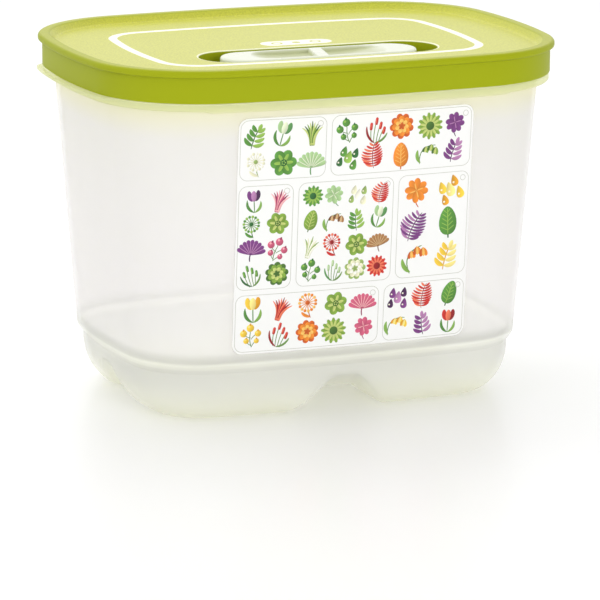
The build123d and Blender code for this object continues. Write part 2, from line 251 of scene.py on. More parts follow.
class KeeperChart(bpy.types.PropertyGroup):
    """Sizes and colours of the film and its print."""

    corner: size("Corner", "Radius of the film's corners", 5.0 * MM)
    margin: size("Margin", "Distance from the film's edge to the panels", 0.9 * MM)
    gap: size("Gap", "Distance between the panels", 2.6 * MM)
    line: size("Line", "Width of the panels' outline", 0.28 * MM)
    panel_corner: size("Panel corner", "Radius of the panels' corners", 4.2 * MM)
    spot: size("Spot", "Radius of the small ring in each panel's corner", 1.5 * MM)
    spot_inset: size("Spot inset", "Distance from the panel's edges to the ring's middle", 3.4 * MM)
    cell_margin: size("Cell margin", "Free edge inside each panel", 1.2 * MM)
    film_back: size("Film back", "Distance from the wall to the film's back", 0.1 * MM)
    film_front: size("Film front", "Distance from the wall to the film's front", 0.38 * MM)
    ink: size("Ink", "Thickness of the print", 0.02 * MM)
    ink_step: size("Ink step", "How much higher each blade of a drawing lies", 0.0022 * MM)
    film_colour: colour("Film", "Colour of the milky film", 233, 233, 231)
    line_colour: colour("Line colour", "Colour of the panels' outline", 186, 186, 176)
    ink_depth: share("Ink depth", "How light the inks are next to their full colour", 0.85)


class KeeperStage(bpy.types.PropertyGroup):
    """Camera, lamps and floor."""

    lens: FloatProperty(name="Lens", description="Focal length on a 36 mm sensor", default=240.38)
    camera_place: FloatVectorProperty(
        name="Camera", description="Place of the camera", default=(-0.7385, -1.8632, 0.5068), unit="LENGTH"
    )
    camera_target: FloatVectorProperty(
        name="Target", description="Point the camera aims at", default=(0.00323, 0.0, 0.04312), unit="LENGTH"
    )
    camera_roll: FloatProperty(
        name="Roll", description="Turn about the line of sight", default=math.radians(0.276), subtype="ANGLE"
    )
    sky: FloatProperty(name="Sky", description="Strength of the even light from behind", default=1.12)
    sky_front: FloatProperty(name="Front sky", description="Strength of it from the front", default=0.58)
    key: FloatProperty(name="Key", description="Power of the large lamp overhead, in watts", default=7.0)
    side: FloatProperty(name="Side", description="Power of the lamp at the left, in watts", default=6.5)
    front: FloatProperty(name="Front", description="Power of the lamp at the front, in watts", default=21.0)
    gloss: share("Floor gloss", "How much of the floor's light is mirrored", 0.4)
    floor_glow: FloatProperty(name="Floor glow", description="Strength of its own light", default=0.1)
    floor_colour: colour("Floor", "Colour of the floor", 250, 250, 250)
    floor_reach: size("Floor reach", "Half the width of the floor", 30.0)
    floor_gap: size("Floor gap", "How far the floor lies under the feet", 0.1 * MM)


def outline_arcs():
    """Centre, radius and angle of every grid column round the outline, and the columns' number in a quarter.

    A quarter is half a side arc, a corner arc and half an end arc. The corner's centre lies where it is
    the radii's difference away from both other centres, which makes the arcs tangent.
    """
    sizes = bpy.context.scene.keeper_outline
    half_length = LID_HIGH.x - sizes.crest_overhang
    half_width = LID_HIGH.y - sizes.crest_overhang
    side = np.array((0.0, half_width - sizes.side_arc))
    end = np.array((half_length - sizes.end_arc, 0.0))
    side_reach = sizes.side_arc - sizes.corner_arc
    end_reach = sizes.end_arc - sizes.corner_arc
    span = np.linalg.norm(end - side)
    along = (side_reach**2 - end_reach**2 + span**2) / (2 * span)
    across = math.sqrt(side_reach**2 - along**2)
    toward = (end - side) / span
    corner = side + along * toward + across * np.array((toward[1], -toward[0]))
    side_angle = math.atan2(corner[1] - side[1], corner[0] - side[0])
    end_angle = math.atan2(corner[1] - end[1], corner[0] - end[0])
    arcs = (
        (end, sizes.end_arc, 0.0, end_angle, sizes.end_steps),
        (corner, sizes.corner_arc, end_angle, side_angle, sizes.corner_steps),
        (side, sizes.side_arc, side_angle, math.pi / 2, sizes.side_steps),
    )
    quarter = np.concatenate(
        [
            np.column_stack(
                (
                    np.tile(centre, (steps, 1)),
                    np.full(steps, radius),
                    np.linspace(start, stop, steps, endpoint=False),
                )
            )
            for centre, radius, start, stop, steps in arcs
        ]
    )
    top = np.array([[*side, sizes.side_arc, math.pi / 2]])
    first = np.concatenate((quarter, top))
    mirrored = first[::-1] * (-1, 1, 1, 1)
    mirrored[:, 3] = math.pi - first[::-1, 3]
    upper = np.concatenate((first, mirrored[1:]))
    lower = upper[::-1] * (1, -1, 1, 1)
    lower[:, 3] = 2 * math.pi - upper[::-1, 3]
    return np.concatenate((upper, lower[1:-1])), len(quarter)


def rays(angles):
    """Unit vectors at angles."""
    return np.column_stack((np.cos(angles), np.sin(angles)))


def ring(columns, inset):
    """Points of the outline drawn in by an inset: each lies on its arc, at the arc's radius less the inset."""
    return columns[:, :2] + (columns[:, 2] - inset)[:, None] * rays(columns[:, 3])


def carry(columns, section):
    """A section of insets and heights at every column: each point is drawn in along its own arc's radius.

    The section is one path of pairs for all columns, or an array with a path for each column.
    """
    section = np.asarray(section)
    if section.ndim == 2:
        section = np.broadcast_to(section, (len(columns), *section.shape))
    reach = columns[:, None, 2] - section[:, :, 0]
    angle = columns[:, None, 3]
    return np.stack(
        (
            columns[:, None, 0] + reach * np.cos(angle),
            columns[:, None, 1] + reach * np.sin(angle),
            section[:, :, 1],
        ),
        axis=2,
    )


def rounded(corners, spacing, turn_step=math.radians(12)):
    """A path through corners of inset, height and rounding: each rounding is an arc tangent to both runs.

    The arc's centre lies on the corner's bisector, at the rounding divided by the sine of half the corner.
    Runs are divided so that no step is longer than the spacing.
    """
    points = np.array([corner[:2] for corner in corners], float)
    path = [points[:1]]
    for here, (before, at, after) in enumerate(zip(points[:-2], points[1:-1], points[2:]), 1):
        rounding = corners[here][2]
        if rounding <= 0:
            path.append(at[None])
            continue
        back = (before - at) / np.linalg.norm(before - at)
        on = (after - at) / np.linalg.norm(after - at)
        half = math.acos(np.clip(back @ on, -1, 1)) / 2
        centre = at + (back + on) / np.linalg.norm(back + on) * rounding / math.sin(half)
        start = at + back * rounding / math.tan(half) - centre
        turn = math.pi - 2 * half
        turn *= 1 if back[0] * on[1] - back[1] * on[0] < 0 else -1
        angles = np.linspace(0, turn, max(2, math.ceil(abs(turn) / turn_step) + 1))
        path.append(
            centre
            + np.column_stack(
                (
                    start[0] * np.cos(angles) - start[1] * np.sin(angles),
                    start[0] * np.sin(angles) + start[1] * np.cos(angles),
                )
            )
        )
    path.append(points[-1:])
    path = np.concatenate(path)
    runs = np.linalg.norm(np.diff(path, axis=0), axis=1)
    pieces = np.maximum(1, np.ceil(runs / spacing - 1e-6)).astype(int)
    starts = [step + np.arange(count) / count for step, count in enumerate(pieces)]
    places = np.concatenate(starts + [[len(runs)]])
    known = np.arange(len(path))
    return np.column_stack([np.interp(places, known, path[:, axis]) for axis in (0, 1)])


def grid_faces(rows, columns, wrap=False, start=0):
    """Quads between neighbours of a grid stored row by row; with wrap, the last row joins the first."""
    row = np.arange(rows if wrap else rows - 1)[:, None] * columns
    next_row = np.roll(np.arange(rows) * columns, -1)[: len(row), None]
    column = np.arange(columns - 1)[None, :]
    quads = np.stack((row + column, next_row + column, next_row + column + 1, row + column + 1), axis=2)
    return quads.reshape(-1, 4) + start


def add_piece(name, patches, body, material, replaces=(), attributes=None):
    """A piece from patches of points, each a grid and whether its rows close on themselves.

    Points that fall together at seams and poles are merged, and the faces are turned outwards.
    """
    points = np.concatenate([grid.reshape(-1, 3) for grid, _ in patches])
    starts = np.cumsum([0] + [grid.shape[0] * grid.shape[1] for grid, _ in patches])
    faces = np.concatenate(
        [grid_faces(grid.shape[0], grid.shape[1], wrap, start) for (grid, wrap), start in zip(patches, starts)]
    )
    return add_mesh(name, points, faces, body, material, replaces, attributes)


def add_mesh(name, points, faces, body, material, replaces=(), attributes=None):
    """A piece from points and quads, merged, turned outwards and shaded smooth up to the sharp angle."""
    mesh = bpy.data.meshes.new(name)
    mesh.vertices.add(len(points))
    mesh.vertices.foreach_set("co", np.ascontiguousarray(points, np.float32).ravel())
    mesh.loops.add(faces.size)
    mesh.loops.foreach_set("vertex_index", np.ascontiguousarray(faces, np.int32).ravel())
    mesh.polygons.add(len(faces))
    mesh.polygons.foreach_set("loop_start", np.arange(0, faces.size, 4, dtype=np.int32))
    for attribute, values in (attributes or {}).items():
        kind, field = ("FLOAT_COLOR", "color") if values.ndim == 2 else ("FLOAT", "value")
        layer = mesh.attributes.new(attribute, kind, "POINT")
        layer.data.foreach_set(field, np.ascontiguousarray(values, np.float32).ravel())
    mesh.update(calc_edges=True)
    mesh.validate()
    work = bmesh.new()
    work.from_mesh(mesh)
    bmesh.ops.remove_doubles(work, verts=work.verts, dist=MERGE)
    bmesh.ops.dissolve_degenerate(work, dist=0.1 * MERGE, edges=work.edges)
    bmesh.ops.recalc_face_normals(work, faces=work.faces)
    work.to_mesh(mesh)
    work.free()
    mesh.shade_smooth()
    mesh.set_sharp_from_angle(angle=SHARP_ANGLE)
    piece = bpy.data.objects.new(name, mesh)
    bpy.context.scene.collection.objects.link(piece)
    mesh.materials.append(material)
    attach(piece, body)
    if replaces:
        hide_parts(*replaces)
    return piece


def soft_step(value, low, high):
    """A smooth step from zero at low to one at high, with level ends."""
    place = np.clip((value - low) / (high - low), 0.0, 1.0)
    return place * place * (3 - 2 * place)


def soft_max(first, second, blend):
    """The larger of two heights, with a rounded crossing as wide as the blend."""
    mix = np.maximum(blend - np.abs(first - second), 0.0) / blend
    return np.maximum(first, second) + mix * mix * blend / 4


def soft_min(first, second, blend):
    """The smaller of two heights, with a rounded crossing."""
    return -soft_max(-first, -second, blend)


def gap_height(sizes, x, y, grow):
    """Height of the free gap under the tub: two crossed channels with ceilings that rise outwards.

    A channel's height is the smaller of its side slope and its ceiling; grow widens it all round.
    """
    ceiling_top = sizes.arch_height + grow
    ceiling_low = sizes.underside + grow
    basin = basin_inset(sizes)
    overhang = bpy.context.scene.keeper_outline.crest_overhang
    reaches = (LID_HIGH.y - overhang - basin, LID_HIGH.x - overhang - basin)
    lift = ceiling_top / (sizes.arch_bottom - sizes.arch_top)
    heights = []
    for across, along, reach in ((np.abs(x), np.abs(y), reaches[0]), (np.abs(y), np.abs(x), reaches[1])):
        side = (sizes.arch_bottom + grow - across) * lift
        rise = (along - reach + sizes.arch_slope) / sizes.arch_slope
        ceiling = ceiling_low + (ceiling_top - ceiling_low) * np.clip(rise, 0.0, 1.0)
        heights.append(soft_min(side, ceiling, sizes.arch_blend))
    return soft_max(heights[0], heights[1], sizes.arch_blend)


def wall_inset(sizes, height):
    """Inset of the tub's outer wall: it leans out evenly up to the flange."""
    return sizes.rim_outer + sizes.wall_set_back + sizes.draft * (TUB_HIGH.z - sizes.rim_height - height)


def basin_inset(sizes):
    """Inset of the basin's top edge."""
    return wall_inset(sizes, sizes.ledge_top) + sizes.ledge_width


def basin_path(sizes, thickness):
    """Section of the basin: the flat floor, then a quarter of an ellipse up to the basin's top."""
    top = basin_inset(sizes) + thickness
    foot = top + sizes.basin_reach
    turn = np.linspace(0, math.pi / 2, 19)
    rise = sizes.basin_top - thickness
    curve = np.column_stack((foot - sizes.basin_reach * np.sin(turn), sizes.basin_top - rise * np.cos(turn)))
    flat = np.column_stack((np.linspace(sizes.floor_inset, foot, 5)[:-1], np.full(4, thickness)))
    return np.concatenate((flat, curve))


def over_gap(sizes, points, thickness):
    """Points of the basin lifted over the gap between the feet."""
    gap = gap_height(sizes, points[..., 0], points[..., 1], thickness)
    lifted = soft_max(points[..., 2], gap, sizes.arch_blend)
    blend = soft_step(points[..., 2], sizes.arch_height, sizes.basin_top)
    height = lifted * (1 - blend) + points[..., 2] * blend
    return np.concatenate((points[..., :2], height[..., None]), axis=-1)


def floor_patch(columns, quarter, inset, height):
    """A patch that fills the outline at an inset: each point blends its two borders' points both ways.

    The four borders meet in the middle of the corner arcs. This is a Coons patch: the sum of both
    straight blends between opposite borders, less the blend of the four corners.
    """
    sizes = bpy.context.scene.keeper_outline
    border = ring(columns, inset)
    first = sizes.end_steps + sizes.corner_steps // 2
    right = np.roll(border, first, axis=0)[: 2 * first + 1]
    top = border[first : 2 * quarter - first + 1]
    left = border[2 * quarter - first : 2 * quarter + first + 1][::-1]
    bottom = border[2 * quarter + first : 4 * quarter - first + 1]
    top = top[::-1]
    s = np.linspace(0, 1, len(top))[:, None, None]
    t = np.linspace(0, 1, len(right))[None, :, None]
    across = left[None] * (1 - s) + right[None] * s
    along = bottom[:, None] * (1 - t) + top[:, None] * t
    low_corners = bottom[0] * (1 - s) + bottom[-1] * s
    high_corners = top[0] * (1 - s) + top[-1] * s
    flat = across + along - low_corners * (1 - t) - high_corners * t
    return np.concatenate((flat, np.full((*flat.shape[:2], 1), height)), axis=2)


def soft_block(centre, half, rounding):
    """Patches of a block with rounded edges: a cube's faces pushed onto a rounded box.

    Each face's grid point is shrunk onto the inner box and moved out from there by the rounding, along
    the sum of the cube's sides that it lies on or close to.
    """
    close = 0.95
    line = np.array((-1.0, -0.96, -0.8, 0.8, 0.96, 1.0))
    first, second = np.meshgrid(line, line, indexing="ij")
    patches = []
    for axis in range(3):
        for sign in (-1.0, 1.0):
            cube = np.empty((*first.shape, 3))
            cube[..., axis] = sign
            cube[..., (axis + 1) % 3] = first
            cube[..., (axis + 2) % 3] = second
            inner = cube * (np.array(half) - rounding)
            outward = np.where(np.abs(cube) >= close, cube, 0.0) + 1e-9 * cube
            outward /= np.linalg.norm(outward, axis=2, keepdims=True)
            patches.append((np.array(centre) + inner + outward * rounding, False))
    return patches


def feed(tree, node, inputs):
    """Links a node's inputs to sockets, or sets them to values, by their names or places."""
    for name, value in inputs.items():
        if isinstance(value, bpy.types.NodeSocket):
            tree.links.new(value, node.inputs[name])
        else:
            node.inputs[name].default_value = value


def added(tree, kind, inputs=None, **facts):
    """A new node with its own facts set and its inputs fed."""
    node = tree.nodes.new(kind)
    for name, value in facts.items():
        setattr(node, name, value)
    feed(tree, node, inputs or {})
    return node


def number(tree, operation, *values):
    """The output of a math node."""
    return added(tree, "ShaderNodeMath", dict(enumerate(values)), operation=operation).outputs[0]


def blended(tree, factor, first, second):
    """The output of a mix of two shaders."""
    return added(tree, "ShaderNodeMixShader", {0: factor, 1: first, 2: second}).outputs[0]


def spanned(tree, value, given, result, kind="LINEAR"):
    """A value carried from the span between two given ends to the span between two others."""
    inputs = {"Value": value, "From Min": given[0], "From Max": given[1]}
    inputs |= {"To Min": result[0], "To Max": result[1]}
    return added(tree, "ShaderNodeMapRange", inputs, interpolation_type=kind).outputs["Result"]


def along_axis(tree, vector, axis):
    """One coordinate of a vector socket."""
    return added(tree, "ShaderNodeSeparateXYZ", {0: vector}).outputs[axis]


def own(tree, attribute, output="Fac"):
    """A socket with one of the piece's own attributes."""
    return added(tree, "ShaderNodeAttribute", attribute_name=attribute).outputs[output]


def moulded_group():
    """The moulded surface that all the plastics share: fine grain and uneven gloss."""
    if "Moulded plastic" in bpy.data.node_groups:
        return bpy.data.node_groups["Moulded plastic"]
    tree = bpy.data.node_groups.new("Moulded plastic", "ShaderNodeTree")
    sides = {"INPUT": ("Grain Scale", "Grain", "Roughness"), "OUTPUT": ("Height", "Roughness", "Fleck")}
    for side, labels in sides.items():
        for label in labels:
            tree.interface.new_socket(name=label, in_out=side, socket_type="NodeSocketFloat")
    given = tree.nodes.new("NodeGroupInput").outputs
    place = tree.nodes.new("ShaderNodeTexCoord").outputs["Object"]
    grain = added(tree, "ShaderNodeTexNoise", {"Vector": place, "Scale": given["Grain Scale"], "Detail": 3.0})
    cloud = added(tree, "ShaderNodeTexNoise", {"Vector": place, "Scale": 14.0, "Detail": 2.0})
    height = number(tree, "MULTIPLY", grain.outputs["Fac"], given["Grain"])
    uneven = number(tree, "MULTIPLY_ADD", cloud.outputs["Fac"], 0.12, given["Roughness"])
    added(tree, "NodeGroupOutput", {"Height": height, "Roughness": uneven, "Fleck": grain.outputs["Fac"]})
    return tree


def plastic(name, base, grain_scale, grain, roughness, bump):
    """A material with the shared moulded surface: (material, shader, group node)."""
    material = bpy.data.materials.new(name)
    material.use_nodes = True
    tree = material.node_tree
    shader = tree.nodes["Principled BSDF"]
    given = {"Grain Scale": grain_scale, "Grain": grain, "Roughness": roughness}
    moulded = added(tree, "ShaderNodeGroup", given, node_tree=moulded_group())
    height, roughness = moulded.outputs["Height"], moulded.outputs["Roughness"]
    relief = added(tree, "ShaderNodeBump", {"Strength": bump, "Distance": 0.1 * MM, "Height": height})
    look = {"Base Color": (*base, 1.0), "Roughness": roughness, "Normal": relief.outputs["Normal"]}
    feed(tree, shader, look)
    return material, shader, moulded


def height_factor(tree, low, high, kind="SMOOTHSTEP", ends=(0.0, 1.0)):
    """A socket that goes from one value at a low height of the piece to another at a high one."""
    place = tree.nodes.new("ShaderNodeTexCoord").outputs["Object"]
    return spanned(tree, along_axis(tree, place, "Z"), (low, high), ends, kind)


def height_colours(tree, stops):
    """A socket with colours that change over the height, from pairs of height and colour."""
    low, high = stops[0][0], stops[-1][0]
    ramp = added(tree, "ShaderNodeValToRGB", {"Fac": height_factor(tree, low, high, "LINEAR")})
    elements = ramp.color_ramp.elements
    for place, (height, tint) in enumerate(stops):
        element = elements[place] if place < 2 else elements.new(1.0)
        element.position = (height - low) / (high - low)
        element.color = (*tint, 1.0)
    return ramp.outputs["Color"]


# Heights in mm, and the setting with the tub's colour at each. Only the body is the plastic's own colour: the
# foot is painted light, the basin painted shade, the edge a painted highlight, the crease painted shade, and the
# shoulder and flange painted lime light from the lid
TUB_TONES = (
    (0.0, "foot"),
    (20.0, "basin"),
    (28.4, "basin"),
    (29.4, "edge"),
    (31.6, "edge"),
    (32.4, "painted_crease_shade"),
    (33.6, "painted_crease_shade"),
    (38.0, "body"),
    (146.0, "body"),
    (159.0, "painted_shoulder_light"),
    (161.5, "flange"),
    (170.0, "flange"),
)


def frosted_plastic(sizes):
    """The tub's milky plastic: it scatters light on both sides and lets a little straight through. Its colour
    changes over the height with painted light and shade, and it glows with painted light, most at the feet.
    """
    material, shader, _ = plastic("Frosted plastic", sizes.body_colour, 2600.0, 0.5, sizes.frost, 0.15)
    tree = material.node_tree
    # Painted light and shade over the height, from the tones above
    tone = height_colours(tree, [(height * MM, getattr(sizes, f"{tone}_colour")) for height, tone in TUB_TONES])
    # Painted glow: emission strongest at the feet and weaker up the walls, standing in for light scattered
    # inside the plastic
    spread = height_factor(tree, 4.0 * MM, 32.0 * MM, ends=(sizes.foot_painted_glow, sizes.wall_painted_glow))
    look = {"Specular IOR Level": 0.1, "Base Color": tone, "Emission Color": tone, "Emission Strength": spread}
    feed(tree, shader, look)
    through = added(tree, "ShaderNodeBsdfTranslucent", {"Color": tone}).outputs[0]
    clear = added(tree, "ShaderNodeBsdfTransparent", {"Color": tone}).outputs[0]
    milky = blended(tree, sizes.glow, shader.outputs[0], through)
    feed(tree, tree.nodes["Material Output"], {"Surface": blended(tree, sizes.clarity, milky, clear)})
    return material


def tinted(tree, attribute, first, second):
    """A colour or socket mixed towards another by one of the piece's own attributes."""
    inputs = {"Factor": own(tree, attribute), "A": first, "B": second}
    return added(tree, "ShaderNodeMix", inputs, data_type="RGBA").outputs["Result"]


def flecked(tree, moulded, tint, spread):
    """A colour that the moulded grain makes a little lighter and darker."""
    tone = spanned(tree, moulded.outputs["Fleck"], (0.35, 0.65), (1 - spread, 1 + spread))
    return added(tree, "ShaderNodeVectorMath", {0: tint, "Scale": tone}, operation="SCALE").outputs["Vector"]


def lime_plastic(sizes):
    """The lid's plastic: plain on the bead and skirt, grained and with a sheen on the panel. The panel's paler
    colour is partly painted sheen, the well's edge carries a painted highlight, and the hidden inside glows with
    painted lime light.
    """
    material, shader, moulded = plastic("Lime plastic", sizes.lime, 1200.0, 1.0, sizes.polish, 0.3)
    tree = material.node_tree
    lime = (*sizes.lime, 1.0)
    # The panel's paler lime is partly painted sheen
    shown = tinted(tree, "panel", lime, flecked(tree, moulded, sizes.panel_lime_and_sheen, 0.13))
    panel = own(tree, "panel")
    look = {
        # Painted highlight on the well's edge, over the panel's partly painted pale colour
        "Base Color": tinted(tree, "edge", shown, (*sizes.well_edge_highlight_lime, 1.0)),
        "Specular IOR Level": sizes.gloss,
        "Roughness": number(tree, "MULTIPLY_ADD", panel, 0.1, moulded.outputs["Roughness"]),
        "Coat Roughness": 0.3,
        "Coat Weight": number(tree, "MULTIPLY", panel, sizes.sheen),
        # Painted glow: the hidden inside emits lime light
        "Emission Color": lime,
        "Emission Strength": number(tree, "MULTIPLY", own(tree, "inside"), sizes.inside_painted_glow),
    }
    feed(tree, shader, look)
    feed(tree, tree.nodes["Bump"], {"Height": number(tree, "MULTIPLY", panel, moulded.outputs["Height"])})
    return material


def pearl_plastic(sizes):
    """The slide's softly polished pearly plastic, darker and greener in the scoops: painted shade, with painted
    lime light showing through.
    """
    material, shader, moulded = plastic("Pearl plastic", sizes.pearl, 2400.0, 0.4, 0.22, 0.1)
    tree = material.node_tree
    # Painted shade with painted lime light, deeper in the scoops
    shown = tinted(tree, "scoop", flecked(tree, moulded, sizes.pearl, 0.015), (*sizes.scoop_shade_pearl, 1.0))
    feed(tree, shader, {"Base Color": shown, "Coat Weight": 0.25})
    return material


def print_ink(name, shown):
    """A thin printed layer of one colour with the film's satin."""
    return plastic(name, shown, 3000.0, 0.3, 0.4, 0.08)[0]


def drawing_ink():
    """The drawings' inks, coloured from the piece's own paint attribute."""
    material, shader, _ = plastic("Drawing ink", (0.5, 0.5, 0.5), 3000.0, 0.3, 0.38, 0.08)
    feed(material.node_tree, shader, {"Base Color": own(material.node_tree, "paint", "Color")})
    return material


def masked(values, patches):
    """Values for every point of the first patch, and zeros for the points of the others."""
    others = sum(grid.shape[0] * grid.shape[1] for grid, _ in patches[1:])
    return np.append(values, np.zeros(others))


class KEEPER_OT_tub(bpy.types.Operator):
    """Builds the frosted tub with its rim, flange, grip, ledge, feet and floor ribs"""

    bl_idname = "keeper.tub"
    bl_label = "Tub"

    def execute(self, context):
        sizes = context.scene.keeper_tub
        columns, quarter = outline_arcs()
        flange_top = TUB_HIGH.z - sizes.rim_height
        web = flange_top - sizes.flange
        lip_inner = sizes.flange_inset + sizes.lip_wall
        lip_bottom = web - sizes.lip_depth
        rim_inner = sizes.rim_outer + sizes.rim_wall
        bead = flange_top + sizes.rim_bead_height
        basin = basin_inset(sizes)
        ledge = wall_inset(sizes, sizes.ledge_top)
        small, fine, inner = sizes.rounding, sizes.fine_rounding, sizes.inner_rounding
        edge = sizes.flange_inset
        plate_bottom = flange_top - sizes.grip_thickness
        lower = rounded(
            [
                (basin, sizes.basin_top, 0),
                (basin, sizes.ledge_foot, 0.5 * MM),
                (ledge, sizes.ledge_top, sizes.ledge_rounding),
                (wall_inset(sizes, web), web, small),
                (lip_inner, web, small),
                (lip_inner, lip_bottom, small),
                (edge + 0.5 * MM, lip_bottom, fine),
                (edge, lip_bottom + 0.6 * MM, fine),
                (edge, plate_bottom, 0),
            ],
            spacing=24 * MM,
        )
        plate = np.array(
            [
                (edge, plate_bottom),
                (edge, plate_bottom + fine),
                (edge, flange_top - small),
                (edge + fine, flange_top),
            ]
        )
        upper = rounded(
            [
                (edge + 2 * fine, flange_top, 0),
                (sizes.rim_outer, flange_top, fine),
                (sizes.rim_outer, bead - sizes.rim_bead, 0),
                (sizes.rim_outer - sizes.rim_bead, bead, small),
                (sizes.rim_outer, bead + sizes.rim_bead, 0),
                (sizes.rim_outer, TUB_HIGH.z, inner),
                (rim_inner, TUB_HIGH.z, 2 * fine),
                (rim_inner, flange_top, inner),
                (wall_inset(sizes, flange_top) + sizes.wall, flange_top, inner),
                (ledge + sizes.wall, sizes.ledge_top + sizes.ledge_lift, sizes.ledge_rounding),
                (basin + sizes.wall, sizes.ledge_foot + sizes.ledge_lift, 0.5 * MM),
                (basin + sizes.wall, sizes.basin_top, 0),
            ],
            spacing=24 * MM,
        )
        place = ring(columns, 0.0)
        grip = (place[:, 0] < 0) * soft_step(sizes.grip_half_width - np.abs(place[:, 1]), 0.0, sizes.grip_slope)
        section = np.tile(np.concatenate((lower, plate, upper)), (len(columns), 1, 1))
        plate_rows = slice(len(lower), len(lower) + len(plate))
        section[:, plate_rows, 0] -= sizes.grip_reach * grip[:, None]
        long_lip = soft_step(sizes.lip_half_length - np.abs(place[:, 0]), -0.5 * MM, 0.5 * MM)
        hanging = (section[0, :, 1] < lip_bottom + 1.0 * MM) & (section[0, :, 0] < lip_inner + 0.1 * MM)
        hanging[len(lower) :] = False
        section[:, hanging, 1] -= sizes.lip_drop * long_lip[:, None]
        patches = [(carry(columns, section), True)]
        for thickness in (0.0, sizes.wall):
            foot = carry(columns, basin_path(sizes, thickness))
            patches.append((over_gap(sizes, foot, thickness), True))
            flat = floor_patch(columns, quarter, sizes.floor_inset, thickness)
            patches.append((over_gap(sizes, flat, thickness), False))
        rib_half = (sizes.rib_width / 2, sizes.rib_length / 2, sizes.rib_height)
        for middle_x in (-sizes.rib_x, sizes.rib_x):
            for middle_y in (-sizes.rib_y, sizes.rib_y):
                for step in (-1.5, -0.5, 0.5, 1.5):
                    centre = (middle_x + step * sizes.rib_pitch, middle_y, sizes.wall)
                    patches += soft_block(centre, rib_half, 0.5 * MM)
        add_piece("tub_shell", patches, "tub", frosted_plastic(sizes), ["tub"])
        return {"FINISHED"}


def well_ring(columns, offset, height):
    """Points of the well's oval, grown by an offset, in the direction of each column from the well's centre.

    A ray leaves through a straight side where its run along stays within the half straight, and
    otherwise through the round end.
    """
    sizes = bpy.context.scene.keeper_vent
    lid = bpy.context.scene.keeper_lid
    overhang = bpy.context.scene.keeper_outline.crest_overhang
    outer = ring(columns, lid.bead_width - overhang + lid.cove) - (0.0, sizes.centre_y)
    cosine, sine = (outer / np.linalg.norm(outer, axis=1, keepdims=True)).T
    half = sizes.half_length - sizes.radius
    radius = sizes.radius + offset
    straight = radius / np.maximum(np.abs(sine), 1e-9)
    end = half * np.abs(cosine) + np.sqrt(np.maximum(radius**2 - (half * sine) ** 2, 0.0))
    reach = np.where(straight * np.abs(cosine) <= half, straight, end)
    return np.column_stack((reach * cosine, reach * sine + sizes.centre_y, np.full(len(columns), height)))


def holed_half(border, side, radius, centre, height, angles=None):
    """Half of the well's floor: straight lines from the air hole's rim to the half's border.

    Returns the grid and the angles of its points round the hole.
    """
    keep = border[:, 0] * side > -1e-9
    edge = border[keep, :2]
    edge = edge[np.argsort(np.arctan2(edge[:, 1] - centre[1], edge[:, 0] * side))]
    loop = np.concatenate((edge, np.linspace(edge[-1], edge[0], 26)[1:-1]))
    middle = np.array((side * centre[0], centre[1]))
    if angles is None:
        angles = np.arctan2(loop[:, 1] - middle[1], loop[:, 0] - middle[0])
    rim = middle + radius * rays(angles)
    share_out = np.linspace(0, 1, 7)[None, :, None]
    flat = rim[:, None] * (1 - share_out) + loop[:, None] * share_out
    return np.concatenate((flat, np.full((*flat.shape[:2], 1), height)), axis=2), angles


# Offset and height, in mm, of each ring of the well's rounded edge
WELL_EDGE = ((0, -1.0), (0, -0.6), (0.08, -0.3), (0.3, -0.08), (0.6, 0.0), (0.9, 0.0), (0.95, 0.0), (1.4, 0.0))
# Middle, half straight, outer and inner radius of each oval of the print, in mm
PILL = ((0.0, 12.6, 6.4, 0.0),)
POSITION_MARKS = ((-10.4, 0.0, 3.0, 1.9), (0.0, 0.0, 2.2, 0.0), (10.4, 0.0, 3.0, 1.9))


def at_height(loop, height):
    """A flat loop's points at a height."""
    return np.column_stack((loop, np.full(len(loop), height)))


